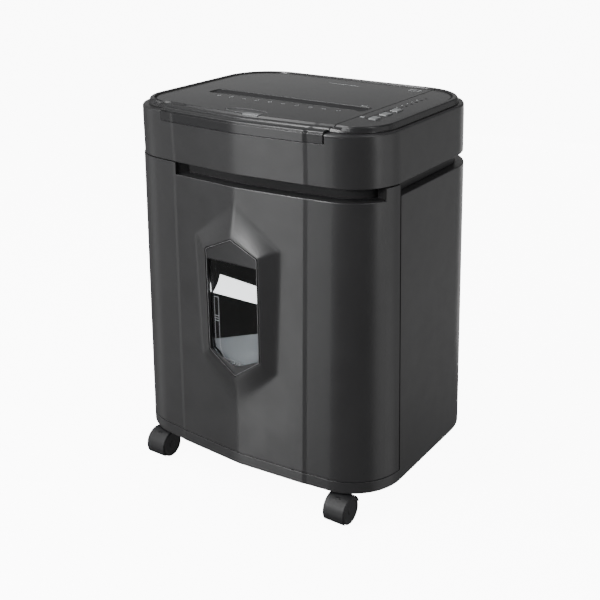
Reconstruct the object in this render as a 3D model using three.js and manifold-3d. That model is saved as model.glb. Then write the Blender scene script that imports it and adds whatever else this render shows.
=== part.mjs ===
// Paper shredder with a top-loading paper tray, a pull-out bin and four casters.
// Millimetres, +Z up, front towards -Y. The origin is on the floor, under the middle.
// Heights in the body are counted from a datum of its own: the body group sets the
// underside of its base, Z_BASE, on top of the casters.

import * as THREE from 'three';
import { mergeVertices } from 'three/addons/utils/BufferGeometryUtils.js';
import Module from 'manifold-3d';

const wasm = await Module();
wasm.setup();

// ---- driving dimensions -------------------------------------------------

const HALF_WIDTH = 192.5;
const RIDGE_Y = -152.4;
const CREASE = { x: 98.7, y: -145.3, stepX: 104, stepY: -143.2 };
const FLANK_SLOPE = 0.08;
const FRONT_CORNER = { x: 126.5, y: -75.1, radius: 66 };
const REAR_Y = 154.5;
const REAR_RADIUS = 80;
const FLARE = 8;
const WALL = 3;
const GAP = 0.3;
const CORNER_STEPS = 5;

const Z_BASE = 53.5;
const Z_SEAM = 69.4;
const Z_GRIP = 439;
const Z_CABINET = 440;
const Z_HEAD = 455;
const Z_SHOULDER = 519;
const Z_DECK = 525;
const Z_TOP = 526.5;

const DOOR_Y = -76.8;
const DOOR_GAP = 2;
const NECK_INSET = 12;
const NECK_FRONT_INSET = 24;
const GRIP_DEPTH = 18;
const GRIP = { left: -CREASE.x, rightX: 187, rightY: -102 };

const BOSS = { y: -162.5, x: 42.5, top: 376, shoulder: 356.5, foot: 213, bottom: 183 };
const BOSS_ROOT = { x: 63, top: 415.6, shoulder: 369, foot: 207, bottom: 138.7 };
const WINDOW = { border: 4, low: 199, high: 341 };

const PATH_X = -6;
const SLOT = { y: -34, half: 121, width: 9 };
const LID_SEAM = { lid: 124, panel: 125.4 };
const LIP = { left: -122, low: 507, proud: 0.8, thick: 2.4 };
const HINGE = { y: 134, z: 519.5, pinRadius: 2.5 };
const DISH = { x: -9, y: -110, rx: 32, ry: 12, depth: 2 };
const LATCH = { x: 8, y: -121, half: 12 };
const HOOK = { y: -119, z: 513.5, tip: -131, tail: 14.4 };

const CUTTER = { z: 425, apart: 29, disc: 17, core: 9.6, pitch: 23.2, discWidth: 11.1, count: 10 };
const PLATE_X = { left: -126, right: 114, thick: 3 };
const FEED = { z: 481, spread: 22, radius: 12, shaft: 5 };
const GEAR = { module: 1.45, x: -139, width: 7, slack: 0.3 };
const TEETH = { cutter: 20, idler: 32, pinion: 12 };
const PULLEY = { x: 120, width: 8, radius: 9, beltThick: 1.8 };
const TRAY = { x: 112.5, front: -138.7, rear: 147.5, low: 488.3, floor: 2.5, high: 506 };

const CASTER = {
  height: 42, x: 150.5, front: -127.7, rear: 125, trail: 13.8, radius: 18.5,
  wheel: 11.4, web: 7, axle: 3, hood: 2.4,
};
const STEM = { radius: 5, top: 64, sides: 12 };
const WHEEL_SIDES = 20;
const BUTTON = { x: 147, y: -64, pitch: 26.5, sizeX: 11, sizeY: 14 };
const LED = { x: 145, y: 6, pitch: 13.3, count: 6 };

const PLASTIC = 0x303234;
const DARK = 0x1b1c1e;
const STEEL = 0xa9adb2;
const RUBBER = 0x18181a;

// ---- solids -------------------------------------------------------------

function solid(geometry) {
  const bare = geometry.clone();
  bare.deleteAttribute('normal');
  bare.deleteAttribute('uv');
  const merged = mergeVertices(bare, 1e-4);
  return new wasm.Manifold(new wasm.Mesh({
    numProp: 3,
    vertProperties: new Float32Array(merged.attributes.position.array),
    triVerts: new Uint32Array(merged.index.array),
  }));
}

function surface(manifold) {
  const mesh = manifold.getMesh();
  const geometry = new THREE.BufferGeometry();
  geometry.setAttribute('position', new THREE.BufferAttribute(mesh.vertProperties, 3));
  geometry.setIndex(new THREE.BufferAttribute(mesh.triVerts, 1));
  geometry.computeVertexNormals();
  return geometry;
}

function boxGeometry([x0, y0, z0], [x1, y1, z1]) {
  const geometry = new THREE.BoxGeometry(x1 - x0, y1 - y0, z1 - z0);
  return geometry.translate((x0 + x1) / 2, (y0 + y1) / 2, (z0 + z1) / 2);
}

function block(low, high) {
  return solid(boxGeometry(low, high));
}

function cut(base, ...tools) {
  return tools.reduce((rest, tool) => rest.subtract(tool), base);
}

function join(base, ...others) {
  return others.reduce((whole, other) => whole.add(other), base);
}

// A cylinder along X from x0 to x1, about the line (y, z).
function rodGeometry(radius, x0, x1, y, z, sides = 12) {
  const geometry = new THREE.CylinderGeometry(radius, radius, x1 - x0, sides);
  return geometry.rotateZ(-Math.PI / 2).translate((x0 + x1) / 2, y, z);
}

function rod(...values) {
  return solid(rodGeometry(...values));
}

// A cylinder along Z.
function post(radius, z0, z1, x, y, sides = 16) {
  const geometry = new THREE.CylinderGeometry(radius, radius, z1 - z0, sides);
  return solid(geometry.rotateX(Math.PI / 2).translate(x, y, (z0 + z1) / 2));
}

// A turned part along X: steps are [x, radius] pairs, each radius holding up to the next x.
function turnedGeometry(steps, endX, y, z, sides = 12) {
  const profile = [new THREE.Vector2(0, steps[0][0])];
  steps.forEach(([x, radius], i) => {
    const next = i + 1 < steps.length ? steps[i + 1][0] : endX;
    profile.push(new THREE.Vector2(radius, x), new THREE.Vector2(radius, next));
  });
  profile.push(new THREE.Vector2(0, endX));
  return new THREE.LatheGeometry(profile, sides).rotateZ(-Math.PI / 2).translate(0, y, z);
}

// ---- body outline -------------------------------------------------------

function arc(cx, cy, radius, from, to, steps) {
  return Array.from({ length: steps + 1 }, (_, i) => {
    const angle = from + (to - from) * i / steps;
    return new THREE.Vector2(cx + radius * Math.cos(angle), cy + radius * Math.sin(angle));
  });
}

// Plan outline, inset from the head's face, counter-clockwise from above.
// The front has a V ridge, a proud centre between two creases, and round corners.
function outline(inset) {
  const half = HALF_WIDTH - inset;
  const flank = -Math.PI / 2 + Math.atan(FLANK_SLOPE);
  const right = [
    new THREE.Vector2(CREASE.x, CREASE.y + inset),
    new THREE.Vector2(CREASE.stepX, CREASE.stepY + inset),
    ...arc(FRONT_CORNER.x, FRONT_CORNER.y, FRONT_CORNER.radius - inset, flank, 0, CORNER_STEPS),
    ...arc(half - REAR_RADIUS + inset, REAR_Y - REAR_RADIUS, REAR_RADIUS - inset, 0, Math.PI / 2,
      CORNER_STEPS),
  ];
  const left = right.map((p) => new THREE.Vector2(-p.x, p.y)).reverse();
  return [new THREE.Vector2(0, RIDGE_Y + inset), ...right, ...left];
}

// A closed body through plan rings at given heights: levels are [z, inset] pairs.
function loft(levels) {
  const rings = levels.map(([, inset]) => outline(inset));
  const count = rings[0].length;
  const positions = rings.flatMap((ring, k) => ring.flatMap((p) => [p.x, p.y, levels[k][0]]));
  const index = [];
  for (let k = 0; k + 1 < rings.length; k += 1) {
    for (let i = 0; i < count; i += 1) {
      const a = k * count + i;
      const b = k * count + (i + 1) % count;
      index.push(a, b, b + count, a, b + count, a + count);
    }
  }
  const top = (rings.length - 1) * count;
  THREE.ShapeUtils.triangulateShape(rings[0], []).forEach(([a, b, c]) => index.push(a, c, b));
  THREE.ShapeUtils.triangulateShape(rings.at(-1), [])
    .forEach(([a, b, c]) => index.push(top + a, top + b, top + c));
  const geometry = new THREE.BufferGeometry();
  geometry.setAttribute('position', new THREE.Float32BufferAttribute(positions, 3));
  geometry.setIndex(index);
  return solid(geometry);
}

function flareAt(z) {
  return -FLARE * (Z_CABINET - z) / (Z_CABINET - Z_BASE);
}

// The casing's flared skin between two heights, inset by a wall.
function casing(z0, z1, inset) {
  return loft([[z0, flareAt(z0) + inset], [z1, flareAt(z1) + inset]]);
}

const FAR = 400;

function inFrontOf(y, z0 = -1, z1 = 600) {
  return block([-FAR, -FAR, z0], [FAR, y, z1]);
}

function behind(y, z0 = -1, z1 = 600) {
  return block([-FAR, y, z0], [FAR, FAR, z1]);
}

// ---- scene --------------------------------------------------------------

const shredder = new THREE.Group();
const body = new THREE.Group();
body.position.z = CASTER.height - Z_BASE;
shredder.add(body);

function add(name, shape, color, roughness = 0.5, metalness = 0, parent = body) {
  const geometry = shape instanceof THREE.BufferGeometry ? shape : surface(shape);
  const material = new THREE.MeshStandardMaterial({ color, roughness, metalness });
  const mesh = new THREE.Mesh(geometry, material);
  mesh.name = name;
  parent.add(mesh);
}

// ---- cabinet ------------------------------------------------------------

function cabinetShell() {
  const skin = casing(Z_BASE, Z_CABINET, 0);
  const room = casing(Z_BASE - 1, Z_CABINET - WALL, WALL);
  const mouth = loft([[Z_CABINET - WALL - 1, NECK_INSET + WALL], [Z_CABINET + 1, NECK_INSET + WALL]]);
  return cut(skin, room, mouth, inFrontOf(DOOR_Y, Z_SEAM));
}

const casterSpots = [
  ['front_left', -CASTER.x, CASTER.front],
  ['front_right', CASTER.x, CASTER.front],
  ['rear_left', -CASTER.x, CASTER.rear],
  ['rear_right', CASTER.x, CASTER.rear],
];

function basePlate() {
  let plate = casing(STEM.top, Z_SEAM - 0.1, WALL + GAP);
  for (const [, x, y] of casterSpots) {
    plate = plate.add(post(STEM.radius + 4, Z_BASE + 0.5, STEM.top + 1, x, y, 12));
  }
  for (const [, x, y] of casterSpots) {
    plate = plate.subtract(post(STEM.radius + 2 * GAP, Z_BASE - 1, STEM.top + GAP, x, y, 12));
  }
  return plate;
}

function neckSolid(grow, z0, z1) {
  const front = loft([[z0, NECK_FRONT_INSET + grow], [z1, NECK_FRONT_INSET + grow]]);
  const wide = loft([[z0, NECK_INSET + grow], [z1, NECK_INSET + grow]]);
  return front.add(wide.subtract(inFrontOf(DOOR_Y + DOOR_GAP)));
}

const MOUTH = { left: -150, right: 147, front: -104, rear: 104 };

function neckFrame() {
  const low = Z_CABINET + GAP;
  const high = Z_HEAD - GAP;
  const mouth = block([MOUTH.left, MOUTH.front, low - 1], [MOUTH.right, MOUTH.rear, high + 1]);
  return cut(neckSolid(0, low, high), neckSolid(WALL, low - 1, high - 4), mouth);
}

add('cabinet_shell', cabinetShell(), PLASTIC, 0.45);
add('base_plate', basePlate(), DARK, 0.6);
add('neck_frame', neckFrame(), DARK, 0.6);
for (const [side, sign] of [['left', -1], ['right', 1]]) {
  const low = [sign > 0 ? 185 : -190, -60, Z_SEAM + 0.2];
  const high = [sign > 0 ? 190 : -185, 90, Z_SEAM + 11];
  add(`bin_guide_${side}`, boxGeometry(low, high), DARK, 0.6);
}

// ---- bin ----------------------------------------------------------------

const TUB = { inset: 10, low: 70.2, high: 397, wall: 2.5 };

function binTub() {
  const { inset, low, high, wall } = TUB;
  const outer = loft([[low, inset], [high, inset]]);
  const inner = loft([[low + wall, inset + wall], [high + 1, inset + wall]]);
  const view = block([-BOSS.x, RIDGE_Y, WINDOW.low - 8], [BOSS.x, -110, WINDOW.high + 8]);
  return cut(outer, inner, view);
}

function hexagon({ x, top, shoulder, foot, bottom }, grow = 0) {
  return [
    [0, top + grow], [-x - grow, shoulder + grow * 0.6], [-x - grow, foot - grow * 0.6],
    [0, bottom - grow], [x + grow, foot - grow * 0.6], [x + grow, shoulder + grow * 0.6],
  ];
}

// The front casing's face at a height, at a distance x from the ridge.
function faceY(x, z) {
  return RIDGE_Y + flareAt(z) + (CREASE.y - RIDGE_Y) * Math.abs(x) / CREASE.x;
}

// A closed body between two hexagons, each a list of [x, y, z].
function hexBody(rear, front) {
  const geometry = new THREE.BufferGeometry();
  geometry.setAttribute('position', new THREE.Float32BufferAttribute([...rear, ...front].flat(), 3));
  const index = [];
  for (let i = 0; i < 6; i += 1) {
    const j = (i + 1) % 6;
    index.push(i, j, j + 6, i, j + 6, i + 6);
  }
  for (let i = 1; i < 5; i += 1) {
    index.push(0, i + 1, i, 6, 6 + i, 7 + i);
  }
  geometry.setIndex(index);
  return solid(geometry);
}

function flatHexagon(shape, grow, y) {
  return hexagon(shape, grow).map(([x, z]) => [x, y, z]);
}

// The raised bezel: its bevels start on the ridged face and carry on a little under it.
function windowBoss() {
  const front = flatHexagon(BOSS, 0, BOSS.y);
  const sink = 0.35;
  const rear = hexagon(BOSS_ROOT).map(([x, z], i) => {
    const root = [x, faceY(x, z), z];
    return root.map((value, axis) => value + (value - front[i][axis]) * sink);
  });
  return hexBody(rear, front);
}

function hexPlate(grow, y0, y1) {
  return hexBody(flatHexagon(BOSS, grow, y1), flatHexagon(BOSS, grow, y0));
}

// The sight opening: level top and bottom, its lower corners cut by the bezel's V.
function windowTool(grow, y0, y1) {
  const level = block([-FAR, y0, WINDOW.low - grow], [FAR, y1, WINDOW.high + grow]);
  return hexPlate(grow - WINDOW.border, y0, y1).intersect(level);
}

function gripTool() {
  const low = Z_GRIP;
  const band = cut(
    loft([[low, -20], [Z_HEAD + 1, -20]]),
    loft([[low - 1, GRIP_DEPTH], [Z_HEAD + 2, GRIP_DEPTH]]),
  );
  const reach = block([GRIP.left, -FAR, low - 1], [GRIP.rightX, GRIP.rightY, Z_HEAD + 2]);
  return band.intersect(reach);
}

function binFront() {
  const low = Z_SEAM + 0.6;
  const high = Z_HEAD - 0.8;
  const skin = join(casing(low, high, 0), windowBoss());
  const room = casing(low - 1, Z_GRIP - WALL, WALL);
  const upper = loft([[Z_GRIP - WALL - 1, GRIP_DEPTH + WALL], [Z_HEAD, GRIP_DEPTH + WALL]]);
  const flank = loft([[Z_GRIP - WALL - 1, WALL], [high - WALL, WALL]])
    .intersect(block([-FAR, -FAR, 0], [GRIP.left - WALL, FAR, 600]));
  const window = windowTool(0, -200, -130);
  const seat = hexPlate(-1.5, BOSS.y - 1, BOSS.y + 2.5);
  return cut(skin, room, upper, flank, gripTool(), window, seat, behind(DOOR_Y - DOOR_GAP));
}

function windowFrame() {
  const plate = hexPlate(-1.5 - GAP, BOSS.y, BOSS.y + 2.2);
  return cut(plate, windowTool(0, -200, -100));
}

function windowPane() {
  return windowTool(-GAP, BOSS.y + 4.5, BOSS.y + 6.5);
}

add('bin_tub', binTub(), DARK, 0.6);
add('bin_front', binFront(), PLASTIC, 0.4);
add('window_frame', windowFrame(), PLASTIC, 0.4);
add('window_pane', windowPane(), 0xc8cdd0, 0.05);

// ---- head ---------------------------------------------------------------

const RIM = { foot: 9.5, side: 10.5, shoulder: 12.5, top: 15, inner: 19 };
const OPENING_INSET = 20;
const INLET = { x: 92, z: 473, halfX: 11, halfZ: 8.5 };
const ROCKER = { x: 60, z: 473, halfX: 8, halfZ: 10.5 };
const GRILLE = { left: -98, right: -14, low: 463, high: 483 };

function rearHole({ x, z, halfX, halfZ }, grow, y0, y1) {
  return block([x - halfX - grow, y0, z - halfZ - grow], [x + halfX + grow, y1, z + halfZ + grow]);
}

function headShell() {
  const skin = loft([[Z_HEAD, 1.2], [Z_HEAD + 1.4, 0], [Z_SHOULDER - 3, 0], [Z_SHOULDER - 0.8, 0.9],
    [Z_SHOULDER, 3]]);
  const room = loft([[Z_HEAD + 3, WALL], [Z_SHOULDER - WALL, WALL]]);
  const floor = neckSolid(WALL + 2, Z_HEAD - 1, Z_HEAD + 4);
  const opening = loft([[Z_SHOULDER - 9, OPENING_INSET], [Z_SHOULDER + 1, OPENING_INSET]]);
  const bar = block([121, -FAR, 0], [129, FAR, 600]);
  const notch = block([LIP.left - 0.4, -FAR, LIP.low - 0.5], [LID_SEAM.panel - 0.4, -100, 600])
    .subtract(loft([[LIP.low - 2, WALL + 0.2], [Z_TOP, WALL + 0.2]]));
  const swing = loft([[508, RIM.foot - 0.5], [530, RIM.foot - 0.5]]);
  const pocket = swing.intersect(block([-153, 118, 500], [LID_SEAM.panel - 0.6, FAR, 540]));
  const grille = block([GRILLE.left - GAP, 130, GRILLE.low - GAP],
    [GRILLE.right + GAP, 200, GRILLE.high + GAP]);
  return cut(skin, room, floor, opening.subtract(bar), notch, pocket, grille,
    rearHole(INLET, GAP, 130, 200), rearHole(ROCKER, GAP, 130, 200));
}

// The raised top with its rim and shallow deck, before it is parted into lid and panel.
function topPlate() {
  const low = Z_SHOULDER + GAP;
  const rim = loft([[low, RIM.foot], [low + 2, RIM.side], [Z_TOP - 1.6, RIM.shoulder], [Z_TOP, RIM.top]]);
  const deck = loft([[Z_DECK, RIM.inner], [Z_TOP + 1, RIM.inner]]);
  const under = loft([[low - 1, RIM.inner - 1], [Z_DECK - WALL, RIM.inner - 1]]);
  return cut(rim, deck, under);
}

function stadium(x, y, half, width, z0, z1) {
  const ends = [x - half + width / 2, x + half - width / 2];
  return join(
    block([ends[0], y - width / 2, z0], [ends[1], y + width / 2, z1]),
    ...ends.map((end) => post(width / 2, z0, z1, end, y, 16)),
  );
}

function lipShape() {
  const front = block([LIP.left, -FAR, 0], [LID_SEAM.lid, -100, 600]);
  const face = cut(
    loft([[LIP.low, -LIP.proud], [Z_SHOULDER + 1.5, -LIP.proud], [Z_SHOULDER + 2.3, 0.6]]),
    loft([[LIP.low - 1, LIP.thick - LIP.proud], [Z_TOP, LIP.thick - LIP.proud]]),
  );
  const ledge = cut(
    loft([[Z_SHOULDER + GAP, 0], [Z_SHOULDER + 2.2, 0]]),
    loft([[Z_SHOULDER, RIM.side + 2], [Z_TOP, RIM.side + 2]]),
  );
  return face.add(ledge).intersect(front);
}

const dishTool = solid(new THREE.CylinderGeometry(1, 1, 4, 28).rotateX(Math.PI / 2)
  .scale(DISH.rx, DISH.ry, 1).translate(DISH.x, DISH.y, Z_DECK - DISH.depth + 2));

const latchHole = block([LATCH.x - LATCH.half, LATCH.y - 5, 515], [LATCH.x + LATCH.half, LATCH.y + 5, 530]);
const PIVOT = { y: 72, z: 514, radius: 2 };

function lug(x0, x1, y, z, reach, hole) {
  const base = block([x0, y - reach, z], [x1, y + reach, Z_DECK - 1]);
  return cut(base.add(rod(reach, x0, x1, y, z, 14)), rod(hole, x0 - 1, x1 + 1, y, z, 12));
}

const hingeSpans = [['left', -118, -106], ['right', 98, 110]];

function lidShape() {
  const left = topPlate().subtract(block([LID_SEAM.lid, -FAR, 0], [FAR, FAR, 600]));
  const slot = stadium(PATH_X, SLOT.y, SLOT.half, SLOT.width, 480, 600);
  const guides = [SLOT.y - 7, SLOT.y + 5.4].map((y) => block(
    [PATH_X - 106, y, 504], [PATH_X + 106, y + 1.6, Z_DECK - 1]));
  const dishFloor = block([DISH.x - DISH.rx - 1, DISH.y - 17, Z_DECK - 5],
    [DISH.x + DISH.rx + 2, DISH.y + 14, Z_DECK - 2.9]);
  const pivots = [[-100, -96], [84, 88]].map(([a, b]) => lug(
    a, b, PIVOT.y, PIVOT.z, 4, PIVOT.radius + GAP));
  const wells = hingeSpans.map(([, a, b]) => block(
    [a - 5.5, HINGE.y - 5, 500], [b + 5.5, 139.2, Z_DECK - 1.2]));
  const knuckles = hingeSpans.map(([, a, b]) => join(rod(4, a, b, HINGE.y, HINGE.z, 14),
    block([a, HINGE.y - 3, HINGE.z], [b, HINGE.y + 3, Z_DECK - 0.5])));
  const bores = hingeSpans.map(([, a, b]) => rod(
    HINGE.pinRadius + GAP, a - 1, b + 1, HINGE.y, HINGE.z, 12));
  const latchPivot = [LATCH.x - 15, LATCH.x + 13].map((x) => lug(x, x + 2, HOOK.y, HOOK.z, 3, 1.8));
  const added = [lipShape(), ...guides, dishFloor, ...pivots, ...knuckles, ...latchPivot];
  return cut(join(cut(left, ...wells), ...added), slot, dishTool, latchHole, ...bores);
}

function controlPanel() {
  const right = topPlate().subtract(block([-FAR, -FAR, 0], [LID_SEAM.panel, FAR, 600]));
  const holes = [0, 1, 2].map((i) => {
    const y = BUTTON.y + i * BUTTON.pitch;
    return block([BUTTON.x - BUTTON.sizeX / 2 - GAP, y - BUTTON.sizeY / 2 - GAP, 510],
      [BUTTON.x + BUTTON.sizeX / 2 + GAP, y + BUTTON.sizeY / 2 + GAP, 530]);
  });
  const lights = block([LED.x - 2.3, LED.y - 4.3, 510], [LED.x + 2.3, LED.y + 5 * LED.pitch + 4.3, 530]);
  return cut(right, ...holes, lights);
}

add('head_shell', headShell(), PLASTIC, 0.4);
add('lid', lidShape(), PLASTIC, 0.35);
add('control_panel', controlPanel(), PLASTIC, 0.35);

['power', 'forward', 'reverse'].forEach((name, i) => {
  const y = BUTTON.y + i * BUTTON.pitch;
  const cap = block([BUTTON.x - BUTTON.sizeX / 2, y - BUTTON.sizeY / 2, 519],
    [BUTTON.x + BUTTON.sizeX / 2, y + BUTTON.sizeY / 2, Z_TOP - 0.1]);
  const flange = block([BUTTON.x - BUTTON.sizeX / 2 - 1.5, y - BUTTON.sizeY / 2 - 1.5, 519],
    [BUTTON.x + BUTTON.sizeX / 2 + 1.5, y + BUTTON.sizeY / 2 + 1.5, 520.5]);
  add(`button_${name}`, cap.add(flange), 0x9a9da0, 0.5);
});

function ledBar() {
  const bar = block([LED.x - 2, LED.y - 4, 518], [LED.x + 2, LED.y + 5 * LED.pitch + 4, Z_DECK - 0.4]);
  const dots = Array.from({ length: LED.count }, (_, i) => post(1.4, 520, Z_DECK + 0.2, LED.x,
    LED.y + i * LED.pitch, 10));
  return join(bar, ...dots);
}

add('indicator_strip', ledBar(), 0x0c0c0e, 0.2);

function latchButton() {
  return boxGeometry([LATCH.x - LATCH.half + GAP, LATCH.y - 5 + GAP, 519.5],
    [LATCH.x + LATCH.half - GAP, LATCH.y + 5 - GAP, Z_DECK + 0.8]);
}

// The hook reaches forward, and its nose stops just short of the head's front strip.
// Its tail balances it on its pins.
function latchHook() {
  const { x } = LATCH;
  const arm = block([x - 6, HOOK.tip, HOOK.z - 2], [x + 6, HOOK.y, HOOK.z + 1]);
  const nose = block([x - 6, HOOK.tip, HOOK.z - 5], [x + 6, HOOK.tip + 2.5, HOOK.z + 1]);
  const tail = block([x - 6, HOOK.y, HOOK.z - 2], [x + 6, HOOK.y + HOOK.tail, HOOK.z + 1]);
  const barrel = rod(2.6, x - 6.6, x + 6.6, HOOK.y, HOOK.z, 12);
  const pins = rod(1.4, x - 14.5, x + 14.5, HOOK.y, HOOK.z, 10);
  return join(arm, nose, tail, barrel, pins);
}

add('latch_button', latchButton(), 0xb4b6b8, 0.4);
add('latch_hook', latchHook(), DARK, 0.5);
for (const [side, a, b] of hingeSpans) {
  add(`lid_hinge_pin_${side}`, rodGeometry(HINGE.pinRadius, a - 5, b + 5, HINGE.y, HINGE.z), STEEL, 0.3, 1);
}

// Hinge brackets stand behind the tray and carry the pins' ends.
for (const [side, a, b] of hingeSpans) {
  const ears = [[a - 4, a - 1], [b + 1, b + 4]].map(([x0, x1]) => cut(
    join(block([x0, HINGE.y - 7, 506.4], [x1, HINGE.y, HINGE.z]), rod(4, x0, x1, HINGE.y, HINGE.z, 14)),
    rod(HINGE.pinRadius + GAP, x0 - 1, x1 + 1, HINGE.y, HINGE.z, 12)));
  const foot = block([a - 4, HINGE.y - 10, 506.4], [b + 4, 149, 508.2]);
  add(`hinge_bracket_${side}`, join(foot, ...ears), DARK, 0.5);
}

function paperTray() {
  const { x, front, rear, low, floor, high } = TRAY;
  const pan = block([PATH_X - x, front, low], [PATH_X + x, rear, high]);
  const inside = block([PATH_X - x + floor, front + floor, low + floor],
    [PATH_X + x - floor, rear - floor, high + 1]);
  const throat = block([PATH_X - 107, SLOT.y - 39, low - 1], [PATH_X + 107, SLOT.y + 37, low + floor + 1]);
  return cut(pan, inside, throat);
}

function pressurePlate() {
  const plate = block([-90, -20, 504], [78, 74, 506.2]);
  const arms = [[-94.6, -88], [76, 82.6]].map(([a, b]) => join(
    block([a, PIVOT.y - 4, 504], [b, PIVOT.y + 4, PIVOT.z]), rod(4, a, b, PIVOT.y, PIVOT.z, 14)));
  const bores = rod(PIVOT.radius + GAP, -100, 90, PIVOT.y, PIVOT.z, 12);
  return cut(join(plate, ...arms), bores);
}

class Helix extends THREE.Curve {
  constructor(radius, turns, x0, x1) {
    super();
    Object.assign(this, { radius, turns, x0, x1 });
  }

  getPoint(t, target = new THREE.Vector3()) {
    const angle = t * this.turns * Math.PI * 2;
    return target.set(this.x0 + (this.x1 - this.x0) * t, this.radius * Math.cos(angle),
      this.radius * Math.sin(angle));
  }
}

function coilGeometry(radius, wire, turns, x0, x1, y, z) {
  const section = new THREE.Shape(arc(0, 0, wire, 0, Math.PI * 2 * 4 / 5, 4));
  const extrudePath = new Helix(radius, turns, x0, x1);
  return new THREE.ExtrudeGeometry(section, { steps: turns * 7, extrudePath, bevelEnabled: false })
    .translate(0, y, z);
}

add('paper_tray', paperTray(), DARK, 0.55);
add('pressure_plate', pressurePlate(), DARK, 0.5);
add('pivot_rod', rodGeometry(PIVOT.radius, -100.5, 88.5, PIVOT.y, PIVOT.z), STEEL, 0.3, 1);
add('pressure_spring', coilGeometry(3.6, 0.6, 5, -40, 20, PIVOT.y, PIVOT.z), STEEL, 0.3, 1);

// ---- cutting and feeding ------------------------------------------------

const cutterY = { front: SLOT.y - CUTTER.apart / 2, rear: SLOT.y + CUTTER.apart / 2 };
const feedY = { front: SLOT.y - FEED.spread, rear: SLOT.y + FEED.spread };
const SHAFT_LEFT = GEAR.x - 1.5;
const SHAFT_RIGHT = PULLEY.x + PULLEY.width;

function cutterSteps(offset) {
  const start = PATH_X - CUTTER.pitch * CUTTER.count / 2 + offset;
  const steps = [[SHAFT_LEFT, FEED.shaft]];
  for (let i = 0; i < CUTTER.count; i += 1) {
    const x = start + i * CUTTER.pitch;
    steps.push([x, CUTTER.disc], [x + CUTTER.discWidth, CUTTER.core]);
  }
  steps[steps.length - 1][1] = FEED.shaft;
  steps.push([PULLEY.x, PULLEY.radius]);
  return steps;
}

function feedSteps() {
  const steps = [[PLATE_X.left - 6, FEED.shaft]];
  for (const x of [-84, -26, 32]) {
    steps.push([x, FEED.radius], [x + 40, FEED.shaft]);
  }
  steps.push([PULLEY.x, PULLEY.radius]);
  return steps;
}

const HALF_GROOVE = CUTTER.pitch / 2;
add('cutter_front', turnedGeometry(cutterSteps(0), SHAFT_RIGHT, cutterY.front, CUTTER.z), STEEL, 0.35, 1);
add('cutter_rear', turnedGeometry(cutterSteps(HALF_GROOVE), SHAFT_RIGHT, cutterY.rear, CUTTER.z),
  STEEL, 0.35, 1);
add('feed_roller_front', turnedGeometry(feedSteps(), SHAFT_RIGHT, feedY.front, FEED.z), RUBBER, 0.8);
add('feed_roller_rear', turnedGeometry(feedSteps(), SHAFT_RIGHT, feedY.rear, FEED.z), RUBBER, 0.8);

// A comb whose fingers reach into the grooves of one cutter, away from the nip.
function stripper(y, side, offset) {
  const bar = block([PLATE_X.left + GAP, y + side * 24 - 3, CUTTER.z - 5],
    [PLATE_X.right - GAP, y + side * 24 + 3, CUTTER.z + 5]);
  const start = PATH_X - CUTTER.pitch * CUTTER.count / 2 + offset + CUTTER.discWidth;
  const fingers = [];
  for (let i = 0; i < CUTTER.count - 1; i += 1) {
    const x = start + i * CUTTER.pitch + 2.5;
    const reach = [y + side * 11, y + side * 22].sort((a, b) => a - b);
    fingers.push(block([x, reach[0], CUTTER.z - 3], [x + 7, reach[1], CUTTER.z + 3]));
  }
  return join(bar, ...fingers);
}

add('stripper_front', stripper(cutterY.front, -1, 0), DARK, 0.5);
add('stripper_rear', stripper(cutterY.rear, 1, HALF_GROOVE), DARK, 0.5);

const pitchRadius = (teeth) => GEAR.module * teeth / 2;

function along(from, distance, degrees) {
  const angle = THREE.MathUtils.degToRad(degrees);
  return { y: from.y + distance * Math.cos(angle), z: from.z + distance * Math.sin(angle) };
}

const IDLER_ANGLE = 20;
const MOTOR_ANGLE = 10;
const rearCutter = { y: cutterY.rear, z: CUTTER.z };
const frontCutter = { y: cutterY.front, z: CUTTER.z };
const idler = along(rearCutter, pitchRadius(TEETH.cutter) + pitchRadius(TEETH.idler) + GEAR.slack,
  IDLER_ANGLE);
const motor = along(idler, pitchRadius(TEETH.idler) + pitchRadius(TEETH.pinion) + GEAR.slack, MOTOR_ANGLE);

// A spur gear in the YZ plane. One tooth's middle points along the given angle.
function gearGeometry(teeth, centre, toothDegrees, bore) {
  const pitch = Math.PI * 2 / teeth;
  const root = pitchRadius(teeth) - 1.25 * GEAR.module;
  const tip = pitchRadius(teeth) + 0.9 * GEAR.module;
  const start = THREE.MathUtils.degToRad(toothDegrees);
  const corners = [[-0.29, root], [-0.1, tip], [0.1, tip], [0.29, root]];
  const points = Array.from({ length: teeth }, (_, i) => corners.map(([turn, radius]) => {
    const angle = start + (i + turn) * pitch;
    return new THREE.Vector2(radius * Math.cos(angle), radius * Math.sin(angle));
  })).flat();
  const shape = new THREE.Shape(points);
  shape.holes.push(new THREE.Path(arc(0, 0, bore, 0, -Math.PI * 2 * 11 / 12, 11)));
  const geometry = new THREE.ExtrudeGeometry(shape, { depth: GEAR.width, bevelEnabled: false });
  return geometry.rotateX(Math.PI / 2).rotateZ(Math.PI / 2).translate(GEAR.x, centre.y, centre.z);
}

const half = (teeth) => 180 / teeth;
const cutterPhase = IDLER_ANGLE;
const idlerPhase = IDLER_ANGLE + 180 + half(TEETH.idler);
const pinionPhase = MOTOR_ANGLE + 180 + half(TEETH.pinion)
  + (MOTOR_ANGLE - idlerPhase) * TEETH.idler / TEETH.pinion;
const frontPhase = 180 - cutterPhase + half(TEETH.cutter);

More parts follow.
